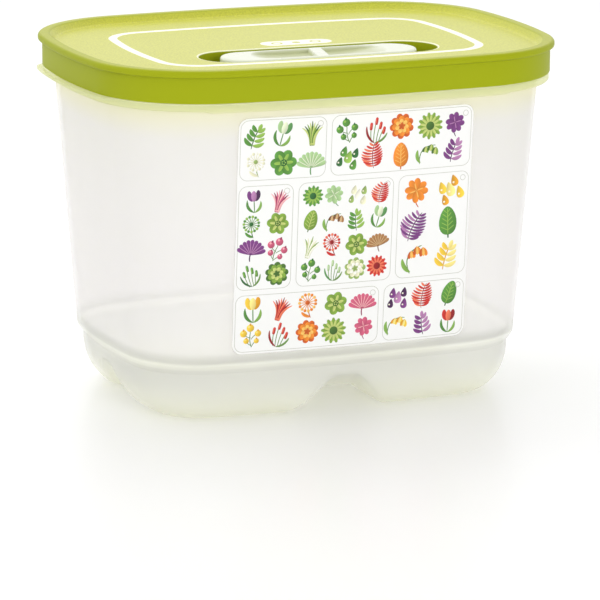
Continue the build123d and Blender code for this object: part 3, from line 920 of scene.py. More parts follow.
class KEEPER_OT_lid(bpy.types.Operator):
    """Builds the lid: skirt, bead, cove, panel, seal channel and the vent's well with its holes and lugs"""

    bl_idname = "keeper.lid"
    bl_label = "Lid"

    def execute(self, context):
        sizes = context.scene.keeper_lid
        vent = context.scene.keeper_vent
        tub = context.scene.keeper_tub
        overhang = context.scene.keeper_outline.crest_overhang
        columns, _ = outline_arcs()
        crest = LID_HIGH.z
        panel_top = crest - sizes.panel_drop
        panel_bottom = panel_top - sizes.panel
        roof = crest - sizes.roof
        skirt_bottom = LID_LOW.z
        skirt_inner = sizes.skirt_inset + sizes.wall
        plug_outer = tub.rim_outer + tub.rim_wall + sizes.plug_clearance
        plug_bottom = roof - sizes.plug_depth
        bead_bottom = crest - sizes.bead_height
        bead_inner = sizes.bead_width - overhang
        cove_end = bead_inner + sizes.cove
        floor_top = panel_top - vent.depth
        floor_bottom = floor_top - vent.floor
        snap = skirt_bottom + sizes.snap_height
        small = sizes.rounding
        edge = rounded(
            [
                (cove_end + 2.5 * MM, panel_top, 0),
                (cove_end, panel_top, sizes.cove_rounding),
                (bead_inner, crest, sizes.inner_rounding),
                (-overhang, crest, sizes.outer_rounding),
                (-overhang, bead_bottom + sizes.bead_slope, sizes.under_rounding),
                (sizes.skirt_inset, bead_bottom, 0.5 * MM),
                (sizes.skirt_inset, skirt_bottom, 0.6 * MM),
                (skirt_inner, skirt_bottom, small),
                (skirt_inner, snap - sizes.snap_half, 0),
                (skirt_inner + sizes.snap_reach, snap, sizes.snap_reach),
                (skirt_inner, snap + sizes.snap_half, 0),
                (skirt_inner, roof, small),
                (plug_outer, roof, small),
                (plug_outer, plug_bottom + sizes.plug_tip, 0),
                (plug_outer + sizes.plug_slant, plug_bottom, 0.2 * MM),
                (plug_outer + sizes.wall, plug_bottom, 0.3 * MM),
                (plug_outer + sizes.wall, panel_bottom, 0.5 * MM),
                (plug_outer + sizes.wall + 2.0 * MM, panel_bottom, 0),
            ],
            spacing=6 * MM,
        )
        edge_grid = carry(columns, edge)
        rim = np.stack(
            [well_ring(columns, offset * MM, panel_top + height * MM) for offset, height in WELL_EDGE], axis=1
        )
        share_out = np.linspace(0, 1, 10)[None, :, None]
        panel = rim[:, -1:] * (1 - share_out) + edge_grid[:, :1] * share_out
        below = well_ring(columns, vent.floor, panel_bottom)[:, None]
        under = edge_grid[:, -1:] * (1 - share_out) + below * share_out
        wall_in = np.stack((well_ring(columns, 0.0, floor_top), rim[:, 0]), axis=1)
        wall_out = np.stack([well_ring(columns, vent.floor, z) for z in (panel_bottom, floor_bottom)], axis=1)
        runs = (wall_in, rim, panel, edge_grid, under, wall_out)
        whole = np.concatenate([run[:, min(step, 1) :] for step, run in enumerate(runs)], axis=1)
        patches = [(whole, True)]
        hole = (vent.hole_spacing / 2, vent.centre_y)
        for side in (-1, 1):
            top, angles = holed_half(whole[:, 0], side, vent.hole_radius, hole, floor_top)
            low, _ = holed_half(whole[:, -1], side, vent.hole_radius, hole, floor_bottom, angles)
            patches += [(top, True), (low, True), (np.stack((top[:, 0], low[:, 0]), axis=1), True)]
        lug_low = SLIDE_LOW.z + vent.runner + vent.clearance
        lug_half = (vent.lug_length / 2, (vent.lug_reach + vent.lug_root) / 2, vent.lug_thickness / 2)
        for side_x in (-1, 1):
            for side_y in (-1, 1):
                middle_y = vent.centre_y + side_y * (vent.radius - (vent.lug_reach - vent.lug_root) / 2)
                centre = (side_x * vent.lug_spacing / 2, middle_y, lug_low + vent.lug_thickness / 2)
                patches += soft_block(centre, lug_half, vent.clearance)
        rim_end = wall_in.shape[1] + rim.shape[1] - 1
        first_edge = rim_end + panel.shape[1] - 1
        bead = edge[: int(np.argmax(edge[:, 0] < 0)), 0]
        steps = (0, 0.3 * bead_inner, 0.8 * bead_inner, bead_inner + 0.45 * sizes.cove, cove_end)
        masks = {name: np.zeros(whole.shape[1]) for name in ("panel", "edge", "inside")}
        masks["panel"][rim_end - 5 : first_edge] = 1.0
        # Painted sheen: the panel's pale colour and sheen carried partway up the bead's crest and cove
        masks["panel"][first_edge : first_edge + len(bead)] = np.interp(bead, steps, (0, 0.45, 0.45, 0.3, 1))
        # Painted highlight on the rings of the well's rounded edge
        masks["edge"][rim_end - 6 : rim_end - 2] = 1.0
        # Painted glow on the hidden inside, from the skirt's foot through the channel
        masks["inside"][first_edge + int(np.argmin(edge[:, 1])) : first_edge + len(edge)] = 1.0
        masks = {name: masked(np.tile(row, len(whole)), patches) for name, row in masks.items()}
        add_piece("lid_shell", patches, "lid", lime_plastic(sizes), ["lid"], masks)
        low = panel_top - sizes.print_depth
        inset, half_line = sizes.line_inset, sizes.line_width / 2
        heights = (low, panel_top + sizes.print_lift, panel_top + sizes.print_lift, low, low)
        stripe = [(inset + side * half_line, z) for side, z in zip((-1, -1, 1, 1, -1), heights)]
        white = print_ink("Lid print", sizes.print_white)
        add_piece("lid_frame_line", [(carry(columns, stripe), True)], "lid", white)
        lime_print = print_ink("Lime print", sizes.mark_lime)
        for name, layer, ink, shapes in (
            ("lid_pill", 1, white, PILL),
            ("lid_position_marks", 2, lime_print, POSITION_MARKS),
        ):
            high = panel_top + layer * sizes.print_lift
            patches = []
            for middle_x, run, outer, inner in shapes:
                middle = (sizes.marks_x + middle_x * MM, sizes.marks_y)
                outside, hole = (oval(run * MM, reach * MM, 16, 16) + middle for reach in (outer, inner))
                path = ((outside, low), (outside, high), (hole, high), (hole, low), (outside, low))
                patches.append((np.stack([at_height(loop, z) for loop, z in path], axis=1), True))
            add_piece(name, patches, "lid", ink)
        return {"FINISHED"}


def oval(straight, radius, straight_steps, end_steps):
    """A closed oval of two straight sides and two round ends, from the right end of the top side."""
    side = np.linspace(1, -1, straight_steps, endpoint=False)
    turn = np.linspace(math.pi / 2, 3 * math.pi / 2, end_steps, endpoint=False)
    top = np.column_stack((side * straight, np.full(straight_steps, radius)))
    left = np.column_stack((radius * np.cos(turn) - straight, radius * np.sin(turn)))
    half = np.concatenate((top, left))
    return np.concatenate((half, -half))


# Distance in from a scoop's edge, in mm, and the share of the scoop's depth there
SCOOP_EDGE = ((0.12, 0.06), (0.3, 0.35), (0.5, 0.72), (0.75, 0.94), (1.1, 1.0))


class KEEPER_OT_slide(bpy.types.Operator):
    """Builds the vent's slide with its thumb scoops, slanted rib, runners and hole pads"""

    bl_idname = "keeper.slide"
    bl_label = "Vent slide"

    def execute(self, context):
        sizes = context.scene.keeper_vent
        top = SLIDE_HIGH.z
        bottom = SLIDE_LOW.z
        radius = sizes.slide_width / 2
        straight = SLIDE_HIGH.x - radius
        scoop_radius = sizes.scoop_width / 2
        scoop_straight = sizes.scoop_reach - scoop_radius
        steps = (90, 30)

        def loop(run, reach, height):
            return at_height(oval(run, reach, *steps) + (0.0, sizes.centre_y), height)

        def scoop_height(points, into):
            along = points[:, 0] - (points[:, 1] - sizes.centre_y) / sizes.scoop_width * sizes.rib_lean
            half, edge = sizes.rib_width / 2, sizes.rib_edge
            beside = soft_step(np.abs(along), half - edge, half + edge)
            deep = sizes.scoop_depth * (1 - (np.abs(points[:, 0]) / sizes.scoop_reach) ** 4)
            return np.column_stack((points[:, :2], top - np.maximum(deep, 0.0) * beside * into))

        wall = sizes.slide_wall
        rings = [loop(straight, radius - wall, bottom), loop(straight, radius, bottom)]
        for turn in np.linspace(0, math.pi / 2, 7):
            back, drop = (sizes.slide_rounding * (1 - reach) for reach in (math.cos(turn), math.sin(turn)))
            rings.append(loop(straight, radius - back, top - drop))
        for part in np.linspace(0.2, 1.0, 5):
            run = straight + (scoop_straight - straight) * part
            reach = (radius - sizes.slide_rounding) * (1 - part) + scoop_radius * part
            rings.append(loop(run, reach, top))
        rim_rings = len(rings)
        for inward, into in SCOOP_EDGE:
            rings.append(scoop_height(loop(scoop_straight, scoop_radius - inward * MM, top), into))
        flat_radius = scoop_radius - SCOOP_EDGE[-1][0] * MM
        for part in np.linspace(1, 0, 15)[1:]:
            rings.append(scoop_height(loop(scoop_straight, flat_radius * part, top), 1.0))
        shell = np.stack(rings, axis=1)
        under_scoop = top - wall - sizes.scoop_depth * 0.6
        ceiling = [
            loop(straight, radius - wall, bottom),
            loop(straight, radius - wall, top - wall),
            loop(scoop_straight, scoop_radius + wall, top - wall),
            loop(scoop_straight, scoop_radius + wall / 2, under_scoop),
            loop(scoop_straight, scoop_radius * 0.5, under_scoop),
            loop(scoop_straight, 0.0, under_scoop),
        ]
        patches = [(shell, True), (np.stack(ceiling, axis=1), True)]
        pad = sizes.hole_radius + sizes.pad_margin
        pad_top = top - wall - sizes.scoop_depth * 0.5
        for middle, run in (
            (sizes.travel / 2 - sizes.hole_spacing / 2, sizes.travel / 2),
            (sizes.travel + sizes.hole_spacing / 2, 0.0),
        ):
            flat, core = (oval(run, reach, 12, 20) + (middle, sizes.centre_y) for reach in (pad, 0.0))
            path = ((core, bottom), (flat, bottom), (flat, pad_top), (core, pad_top))
            patches.append((np.stack([at_height(points, z) for points, z in path], axis=1), True))
        runner_reach = SLIDE_HIGH.y - (sizes.centre_y + radius)
        for side in (-1, 1):
            middle = sizes.centre_y + side * (radius + runner_reach / 2 - wall / 4)
            half = (sizes.runner_half_length, runner_reach / 2 + wall / 4, sizes.runner / 2)
            patches += soft_block((0.0, middle, bottom + sizes.runner / 2), half, 0.25 * MM)
        # Deeper in a scoop, the colour goes to the painted shade with painted lime light
        scoop = np.zeros(shell.shape[:2])
        scoop[:, rim_rings:] = np.clip((top - shell[:, rim_rings:, 2]) / (0.6 * sizes.scoop_depth), 0.0, 1.0)
        masks = {"scoop": masked(scoop, patches)}
        material = pearl_plastic(sizes)
        add_piece("slide_shell", patches, "vent_slide", material, ["vent_slide"], masks)
        return {"FINISHED"}


def on_front(x, height, lift):
    """Points a lift outside the front wall, which is a cone about the side arc's centre."""
    outline = bpy.context.scene.keeper_outline
    tub = bpy.context.scene.keeper_tub
    centre = outline.side_arc - (LID_HIGH.y - outline.crest_overhang)
    radius = outline.side_arc - wall_inset(tub, height) + lift
    return np.stack((x, centre - np.sqrt(radius**2 - x**2), np.broadcast_to(height, x.shape)), axis=-1)


def rounded_sheet(left, right, low, high, corner, steps=(40, 20)):
    """Places of a rounded rectangle's grid: each row's half width follows the corner's circle."""
    turn = np.linspace(0, math.pi / 2, 7)
    ends = corner * (1 - np.cos(turn))
    straight = np.linspace(low + corner, high - corner, steps[1] + 2)[1:-1]
    rows = np.concatenate((low + ends, straight, high - ends[::-1]))
    cut = corner * (1 - np.sin(turn))
    cuts = np.concatenate((cut, np.zeros(steps[1]), cut[::-1]))
    s = np.linspace(0, 1, steps[0])
    x = (left + cuts)[:, None] * (1 - s) + (right - cuts)[:, None] * s
    return x, np.broadcast_to(rows[:, None], x.shape)


def closed_sheet(front, back):
    """Patches of a thin closed sheet: its front, its back and the strips along its four edges."""
    patches = [(front, False), (back, False)]
    for edge in (np.s_[0, :], np.s_[-1, :], np.s_[:, 0], np.s_[:, -1]):
        patches.append((np.stack((front[edge], back[edge]), axis=0), False))
    return patches


def rounded_loop(left, right, low, high, corner, arc_steps=8, run_steps=30):
    """A closed rounded rectangle: a quarter circle at each corner and an evenly divided run to the next."""
    x, y = (left + corner, right - corner), (low + corner, high - corner)
    centres = np.array(((x[1], y[1]), (x[0], y[1]), (x[0], y[0]), (x[1], y[0])))
    turn = np.linspace(0, math.pi / 2, arc_steps)
    loop = []
    for step, centre in enumerate(centres):
        around = corner * rays(turn + step * math.pi / 2)
        arc = centre + around
        start = centres[(step + 1) % 4] + around[-1]
        loop += [arc, np.linspace(arc[-1], start, run_steps)[1:-1]]
    return np.concatenate(loop)


def blade(start, end, width, ink, bend=0.0, fullness=1.0, lean=1.0, shade=0.25):
    """One blade of a drawing: a bent spine, a width that swells along it, and its ink."""
    return (*start, *end, width, *ink, bend, fullness, lean, shade)


def spray(count, inner, outer, width, ink, first=0.0, last=2 * math.pi, centre=(0.0, 0.0), **rest):
    """Blades that spread round a centre from one angle to another."""
    whole = abs(last - first) > 6.28
    angles = np.linspace(first, last, count, endpoint=not whole)
    middle = np.array(centre)
    return [blade(middle + ray * inner, middle + ray * outer, width, ink, **rest) for ray in rays(angles)]


def disc(centre, radius, ink, shade=0.35):
    """A round spot as a blade as wide as it is long."""
    return blade((centre[0], centre[1] - radius), (centre[0], centre[1] + radius), 2 * radius, ink, shade=shade)


def sprig(dark, middle, light):
    """A stem with pairs of leaves that get smaller upwards."""
    rows = [blade((0.0, -1.0), (0.1, 0.8), 0.08, dark, bend=0.05, fullness=0.4)]
    for step in range(4):
        height, reach = -0.7 + 0.36 * step, 0.78 - 0.1 * step
        rows.append(blade((0.0, height), (-reach, height + 0.4), 0.32, middle, bend=0.14, fullness=1.3))
        rows.append(blade((0.0, height), (reach, height + 0.44), 0.3, light, bend=-0.14, fullness=1.3))
    rows.append(blade((0.08, 0.45), (0.14, 1.02), 0.3, light, fullness=1.3))
    return rows


def fern(dark, middle, light):
    """A bent frond with many narrow leaflets."""
    rows = [blade((-0.1, -1.0), (0.2, 1.0), 0.07, dark, bend=0.08, fullness=0.4)]
    for step in range(9):
        place = step / 9
        root = (-0.1 + 0.3 * place - 0.2 * math.sin(math.pi * place) * 0.8, -0.8 + 1.75 * place)
        reach = 0.8 * math.sin(math.pi * (0.25 + 0.72 * place)) + 0.08
        ink = middle if step % 2 else light
        rows.append(blade(root, (root[0] - reach, root[1] + 0.3), 0.17, ink, bend=0.1))
        rows.append(blade(root, (root[0] + reach, root[1] + 0.26), 0.17, middle, bend=-0.1))
    return rows


def blossom(dark, middle, light):
    """Broad petals round a spotted heart."""
    rows = spray(6, 0.1, 1.0, 0.78, middle, shade=0.4)
    rows += spray(6, 0.1, 0.72, 0.24, light, first=0.0)
    rows.append(disc((0.0, 0.0), 0.26, dark))
    rows += [disc((0.13 * math.cos(a), 0.13 * math.sin(a)), 0.05, light) for a in np.arange(5) * 1.2566]
    return rows


def fan_leaf(dark, middle, light):
    """A fan of blades on one stalk."""
    rows = [blade((0.0, -1.0), (0.0, -0.3), 0.1, dark, bend=0.08, fullness=0.4)]
    rows += spray(9, 0.0, 1.25, 0.36, middle, 0.35, 2.79, (0.0, -0.45), lean=1.7, shade=0.35)
    rows += spray(8, 0.15, 1.1, 0.07, light, 0.5, 2.64, (0.0, -0.45), fullness=0.6)
    return rows


def rosette(dark, middle, light):
    """Rings of leaves that get smaller inwards."""
    rows = spray(9, 0.1, 1.0, 0.6, dark, fullness=0.8, shade=0.4)
    rows += spray(8, 0.05, 0.8, 0.52, middle, first=0.3, last=6.583, fullness=0.8, shade=0.4)
    rows += spray(7, 0.0, 0.56, 0.36, light, first=0.1, last=6.383, fullness=0.8, shade=0.4)
    rows += spray(5, 0.0, 0.3, 0.2, dark, first=0.5, last=6.783)
    return rows


def tulip(dark, middle, light):
    """A cup of petals over two long leaves."""
    green = linear(84, 140, 60)
    rows = [blade((0.0, -1.0), (0.0, 0.3), 0.09, green, fullness=0.3)]
    rows.append(blade((0.0, -1.0), (-0.6, 0.2), 0.26, green, bend=0.2, fullness=1.4))
    rows.append(blade((0.0, -1.0), (0.6, 0.0), 0.26, linear(132, 176, 78), bend=-0.2, fullness=1.4))
    rows.append(blade((-0.1, 0.05), (-0.4, 1.0), 0.46, middle, bend=0.12))
    rows.append(blade((0.1, 0.05), (0.4, 1.0), 0.46, dark, bend=-0.12))
    rows.append(blade((0.0, 0.0), (0.0, 0.96), 0.5, light, shade=0.4))
    return rows


def buds(dark, middle, light):
    """A forked twig with round buds."""
    green = linear(96, 140, 66)
    rows = [blade((0.0, -1.0), (0.0, 0.3), 0.07, green, bend=0.08, fullness=0.3)]
    places = ((-0.6, 0.25, 0.3), (0.62, 0.12, 0.28), (0.0, 0.66, 0.32), (-0.42, -0.4, 0.24), (0.45, -0.5, 0.22))
    for x, y, radius in places:
        rows.append(blade((0.0, y - 0.45), (x, y), 0.06, green, bend=0.1, fullness=0.3))
        rows.append(disc((x, y), radius, middle, 0.5))
        rows.append(disc((x - radius * 0.3, y + radius * 0.35), radius * 0.3, light, 0.1))
        rows.append(blade((x, y + radius * 0.6), (x + 0.04, y + radius * 1.3), radius * 0.5, dark))
    return rows


def tuft(*inks):
    """Long bent blades of grass on one root."""
    rows = []
    for place in np.linspace(-1, 1, 9):
        ink = inks[int(round(abs(place) * 20)) % 3]
        tip = (place * 0.85, 0.95 - 0.5 * abs(place))
        rows.append(blade((place * 0.16, -1.0), tip, 0.2, ink, bend=place * 0.16, lean=0.7))
    rows.append(blade((-0.2, -0.86), (0.2, -0.86), 0.12, inks[2]))
    return rows


def veined_leaf(dark, middle, light):
    """One large leaf with a pale rib and side veins."""
    rows = [blade((0.0, -1.0), (0.0, -0.6), 0.1, dark, fullness=0.4)]
    rows.append(blade((0.0, -0.8), (0.06, 1.0), 1.2, middle, fullness=1.1, lean=0.85, shade=0.35))
    rows.append(blade((0.0, -0.75), (0.06, 0.9), 0.07, light, fullness=0.4))
    for step in range(5):
        height, reach = -0.5 + 0.27 * step, 0.44 - 0.05 * step
        rows.append(blade((0.0, height), (-reach, height + 0.26), 0.05, light, fullness=0.5))
        rows.append(blade((0.02, height), (reach, height + 0.26), 0.05, light, fullness=0.5))
    return rows


def clover(dark, middle, light):
    """Four pairs of lobes on a bent stalk."""
    rows = [blade((0.15, -1.0), (0.0, 0.1), 0.08, dark, bend=0.15, fullness=0.4)]
    for turn in (0.25, 1.82, 3.39, 4.96):
        ray = np.array((math.cos(turn), math.sin(turn)))
        for side in (-1, 1):
            tip = 0.78 * ray + side * 0.2 * np.array((-ray[1], ray[0])) + (0.0, 0.12)
            rows.append(blade((0.0, 0.12), tip, 0.44, middle, bend=0.1 * side, lean=1.4, shade=0.35))
        rows.append(blade((0.0, 0.12), 0.5 * ray + (0.0, 0.12), 0.08, light))
    return rows


def daisy(dark, middle, light):
    """Many slim petals round a full heart."""
    rows = spray(13, 0.1, 1.0, 0.3, middle, fullness=0.7, shade=0.3)
    rows += spray(13, 0.1, 0.82, 0.18, light, first=0.24, last=6.523, fullness=0.7)
    rows.append(disc((0.0, 0.0), 0.32, dark, 0.5))
    return rows


def bells(dark, middle, light):
    """Hanging bells on a bowed stem."""
    green = linear(88, 142, 62)
    rows = [blade((-0.5, -1.0), (0.5, 0.75), 0.08, green, bend=0.3, fullness=0.3)]
    rows.append(blade((-0.45, -0.9), (-0.95, 0.1), 0.3, linear(132, 176, 78), bend=0.15, fullness=1.3))
    for x, y, reach in ((-0.3, 0.5, 0.5), (0.12, 0.74, 0.56), (0.55, 0.6, 0.6)):
        rows.append(blade((x, y), (x - 0.16, y - reach), 0.24, dark, bend=-0.1, lean=1.4))
        rows.append(blade((x, y), (x + 0.2, y - reach), 0.26, middle, bend=0.1, lean=1.4))
        rows.append(blade((x, y + 0.04), (x + 0.02, y - reach), 0.2, light, lean=1.3))
    return rows


def reeds(dark, middle, light):
    """Straight reeds with velvety heads."""
    green = linear(110, 150, 74)
    rows = []
    for x, top in ((-0.5, 0.55), (-0.12, 1.0), (0.28, 0.7), (0.62, 0.36)):
        rows.append(blade((x * 0.5, -1.0), (x, top), 0.07, green, bend=0.04, fullness=0.3))
        rows.append(blade((x * 0.93, top - 0.62), (x, top - 0.04), 0.24, middle, fullness=0.35, shade=0.4))
        rows.append(blade((x * 0.93 - 0.04, top - 0.5), (x - 0.04, top - 0.16), 0.06, light, fullness=0.5))
    rows.append(blade((0.0, -1.0), (-0.85, 0.2), 0.18, dark, bend=0.15))
    rows.append(blade((0.0, -1.0), (0.9, -0.1), 0.18, green, bend=-0.15))
    return rows


def drops(dark, middle, light):
    """A cluster of drops with a light spot on each."""
    rows = []
    for x, y, reach, ink in (
        (-0.5, 0.4, 0.85, middle),
        (0.45, 0.55, 0.8, dark),
        (0.0, 0.1, 1.0, light),
        (-0.55, -0.45, 0.75, dark),
        (0.6, -0.35, 0.85, middle),
    ):
        rows.append(blade((x, y + reach / 2), (x, y - reach / 2), reach * 0.66, ink, lean=1.5, shade=0.5))
        rows.append(disc((x - 0.1, y - reach * 0.14), 0.07, linear(250, 246, 225), 0.0))
    return rows


def seed_head(dark, middle, light):
    """A ball of fine rays, each with a small star at its end."""
    rows = [blade((0.0, -1.0), (0.0, 0.2), 0.08, dark, bend=0.05, fullness=0.3)]
    rows += spray(15, 0.0, 0.66, 0.06, middle, centre=(0.0, 0.25), fullness=0.4)
    for step in range(15):
        angle = 2 * math.pi * step / 15
        spot = (0.66 * math.cos(angle), 0.25 + 0.66 * math.sin(angle))
        rows.append(disc(spot, 0.12, light if step % 2 else middle))
    rows.append(disc((0.0, 0.25), 0.17, dark))
    rows.append(blade((0.0, -0.9), (-0.62, -0.35), 0.24, middle, bend=0.12))
    return rows


def palette():
    """Three inks for each name: dark, middle and light."""
    shown = {
        "leaf": ((44, 104, 48), (88, 148, 58), (150, 190, 82)),
        "moss": ((70, 110, 40), (128, 164, 60), (196, 208, 118)),
        "mint": ((92, 150, 84), (168, 202, 142), (228, 236, 204)),
        "cream": ((150, 176, 96), (232, 230, 196), (250, 248, 232)),
        "red": ((150, 24, 28), (204, 44, 38), (238, 122, 88)),
        "pink": ((150, 42, 86), (208, 92, 124), (244, 182, 184)),
        "orange": ((206, 92, 24), (236, 138, 40), (250, 192, 96)),
        "yellow": ((226, 160, 30), (246, 204, 62), (252, 232, 140)),
        "plum": ((70, 30, 78), (122, 58, 128), (184, 128, 176)),
        "earth": ((118, 74, 40), (168, 120, 72), (214, 178, 128)),
    }
    return {name: tuple(linear(*ink) for ink in inks) for name, inks in shown.items()}


# Share of the height, and for each panel its share of the width, columns, rows and inks
CHART_ROWS = (
    (0.27, ((0.37, 3, 2, "leaf mint moss cream"), (0.63, 5, 2, "leaf red orange moss plum"))),
    (
        0.47,
        (
            (0.24, 2, 4, "plum pink leaf moss"),
            (0.43, 4, 4, "leaf mint cream red moss earth"),
            (0.33, 2, 3, "orange yellow plum leaf"),
        ),
    ),
    (0.26, ((0.63, 5, 2, "yellow red orange moss pink"), (0.37, 3, 2, "plum red leaf yellow"))),
)
DRAWINGS = (
    sprig, blossom, rosette, fern, tulip, fan_leaf, daisy, veined_leaf, tuft, buds, clover, bells, seed_head,
    reeds, drops,
)


def chart_layout(sizes):
    """Every blade and panel of the chart: (rows of blades in metres, list of panel boxes).

    Each panel is divided into equal cells, and each cell takes the next drawing in the next ink, a
    little shifted and turned.
    """
    chance = np.random.default_rng(11)
    inks = palette()
    rows, panels = [], []
    left, right = FILM_LOW.x + sizes.margin, FILM_HIGH.x - sizes.margin
    top = FILM_HIGH.z - sizes.margin
    free_height = FILM_HIGH.z - FILM_LOW.z - 2 * sizes.margin - (len(CHART_ROWS) - 1) * sizes.gap
    count = 0
    for height_share, cells in CHART_ROWS:
        low = top - height_share * free_height
        free_width = right - left - (len(cells) - 1) * sizes.gap
        start = left
        for width_share, across, down, names in cells:
            stop = start + width_share * free_width
            panels.append((start, stop, low, top))
            margin = sizes.cell_margin
            width = (stop - start - 2 * margin) / across
            height = (top - low - 2 * margin) / down
            names = names.split()
            for cell in range(across * down):
                column, row = cell % across, cell // across
                x, y = start + margin + (column + 0.5) * width, top - margin - (row + 0.5) * height
                place = np.array((x, y))
                place += chance.uniform(-0.05, 0.05, 2) * (width, height)
                scale = 0.5 * min(width, height) * chance.uniform(0.88, 1.0)
                drawing = DRAWINGS[count * 4 % len(DRAWINGS)](*inks[names[cell % len(names)]])
                turn = chance.uniform(-0.35, 0.35)
                spin = np.array(((math.cos(turn), math.sin(turn)), (-math.sin(turn), math.cos(turn))))
                table = np.array(drawing)
                table[:, 0:2] = table[:, 0:2] @ spin * scale + place
                table[:, 2:4] = table[:, 2:4] @ spin * scale + place
                table[:, 4] *= scale
                rows.append(np.column_stack((table, np.arange(len(table)))))
                count += 1
            start = stop + sizes.gap
        top = low - sizes.gap
    return np.concatenate(rows), panels


def blade_surfaces(rows, steps=13):
    """Points and inks of all blades at once, each a thin closed tube of ring points by steps.

    A blade's steps run as half a cosine. Half its width is the sine of that run, raised to its
    fullness, where the run is first raised to its lean, which moves the widest place to one end.
    """
    run = np.linspace(0, 1, steps)
    along = (1 - np.cos(math.pi * run)) / 2
    start, end = rows[:, None, 0:2], rows[:, None, 2:4]
    span = end - start
    normal = np.stack((-span[..., 1], span[..., 0]), axis=-1)
    bend = rows[:, None, 8:9]
    spine = start + span * along[:, None] + normal * bend * (4 * along * (1 - along))[:, None]
    tangent = span + normal * bend * (4 * (1 - 2 * along))[:, None]
    across = np.stack((-tangent[..., 1], tangent[..., 0]), axis=-1)
    across /= np.linalg.norm(across, axis=-1, keepdims=True)
    swell = np.maximum(np.sin(math.pi * run ** rows[:, 10:11]), 0.0) ** rows[:, 9:10]
    swell[:, (0, -1)] = 0.0
    half = rows[:, 4:5] / 2 * swell
    side = np.array((-1.0, -0.55, 0.0, 0.55, 1.0, 1.0, -1.0))[:, None]
    flat = spine[:, None] + (across * half[..., None])[:, None] * side[..., None]
    front = np.array((1, 1, 1, 1, 1, 0, 0))[:, None]
    chart = bpy.context.scene.keeper_chart
    height = chart.film_front + chart.ink / 4 + chart.ink_step * rows[:, None, None, 12]
    lift = height + chart.ink * (front - 1)
    points = on_front(flat[..., 0], flat[..., 1], lift)
    tone = 1 + rows[:, None, None, 11] * (0.7 * (along - 0.5) + 0.5 * side)
    inks = np.clip(rows[:, None, None, 5:8] * tone[..., None], 0, 1) * chart.ink_depth
    return points, np.concatenate((inks, np.ones((*inks.shape[:3], 1))), axis=-1)


class KEEPER_OT_film(bpy.types.Operator):
    """Builds the milky film on the front wall"""

    bl_idname = "keeper.film"
    bl_label = "Film"

    def execute(self, context):
        sizes = context.scene.keeper_chart
        x, height = rounded_sheet(FILM_LOW.x, FILM_HIGH.x, FILM_LOW.z, FILM_HIGH.z, sizes.corner)
        front, back = (on_front(x, height, lift) for lift in (sizes.film_front, sizes.film_back))
        patches = closed_sheet(front, back)
        material = plastic("Milky film", sizes.film_colour, 2200.0, 0.4, 0.36, 0.1)[0]
        add_piece("chart_film", patches, "tub", material, ["chart_label"])
        return {"FINISHED"}


class KEEPER_OT_chart(bpy.types.Operator):
    """Prints the chart on the film: thin outlined panels with leaves, sprigs and blossoms"""

    bl_idname = "keeper.chart"
    bl_label = "Chart"

    def execute(self, context):
        sizes = context.scene.keeper_chart
        rows, panels = chart_layout(sizes)
        points, inks = blade_surfaces(rows)
        patches = [(grid, True) for grid in points]
        paints = [inks.reshape(-1, 4)]
        grey = np.array((*sizes.line_colour, 1.0))
        for left, right, low, high in panels:
            loops = [
                rounded_loop(left + step, right - step, low + step, high - step, sizes.panel_corner - step)
                for step in (0.0, sizes.line)
            ]
            circle = rays(np.linspace(0, 2 * math.pi, 25)[:-1])
            spot = (right - sizes.spot_inset, high - sizes.spot_inset)
            rings = [spot + reach * circle for reach in (sizes.spot, sizes.spot - sizes.line)]
            for outer, inner in (loops, rings):
                path = ((outer, -1), (outer, 1), (inner, 1), (inner, -1), (outer, -1))
                section = [
                    on_front(*loop.T, np.full(len(loop), sizes.film_front + side * sizes.ink / 2))
                    for loop, side in path
                ]
                grid = np.stack(section, axis=1)
                patches.append((grid, True))
                paints.append(np.broadcast_to(grey, (grid.shape[0] * grid.shape[1], 4)))
        masks = {"paint": np.concatenate(paints)}
        add_piece("chart_print", patches, "tub", drawing_ink(), attributes=masks)
        return {"FINISHED"}


# Name, place, target and side in metres, and the setting with the power
LAMPS = (
    ("Overhead lamp", (-0.1, 0.9, 1.3), (0.0, 0.0, 0.1), 1.4, "key"),
    ("Left lamp", (-1.5, -0.2, 0.9), (0.0, 0.0, 0.1), 1.6, "side"),
    ("Front lamp", (0.2, -2.1, 0.45), (0.0, 0.0, 0.08), 1.0, "front"),
)


def aimed(place, target):
    """The matrix of a lamp or camera at a place, facing a target."""
    turn = (Vector(target) - Vector(place)).to_track_quat("-Z", "Y")
    return Matrix.Translation(Vector(place)) @ turn.to_matrix().to_4x4()


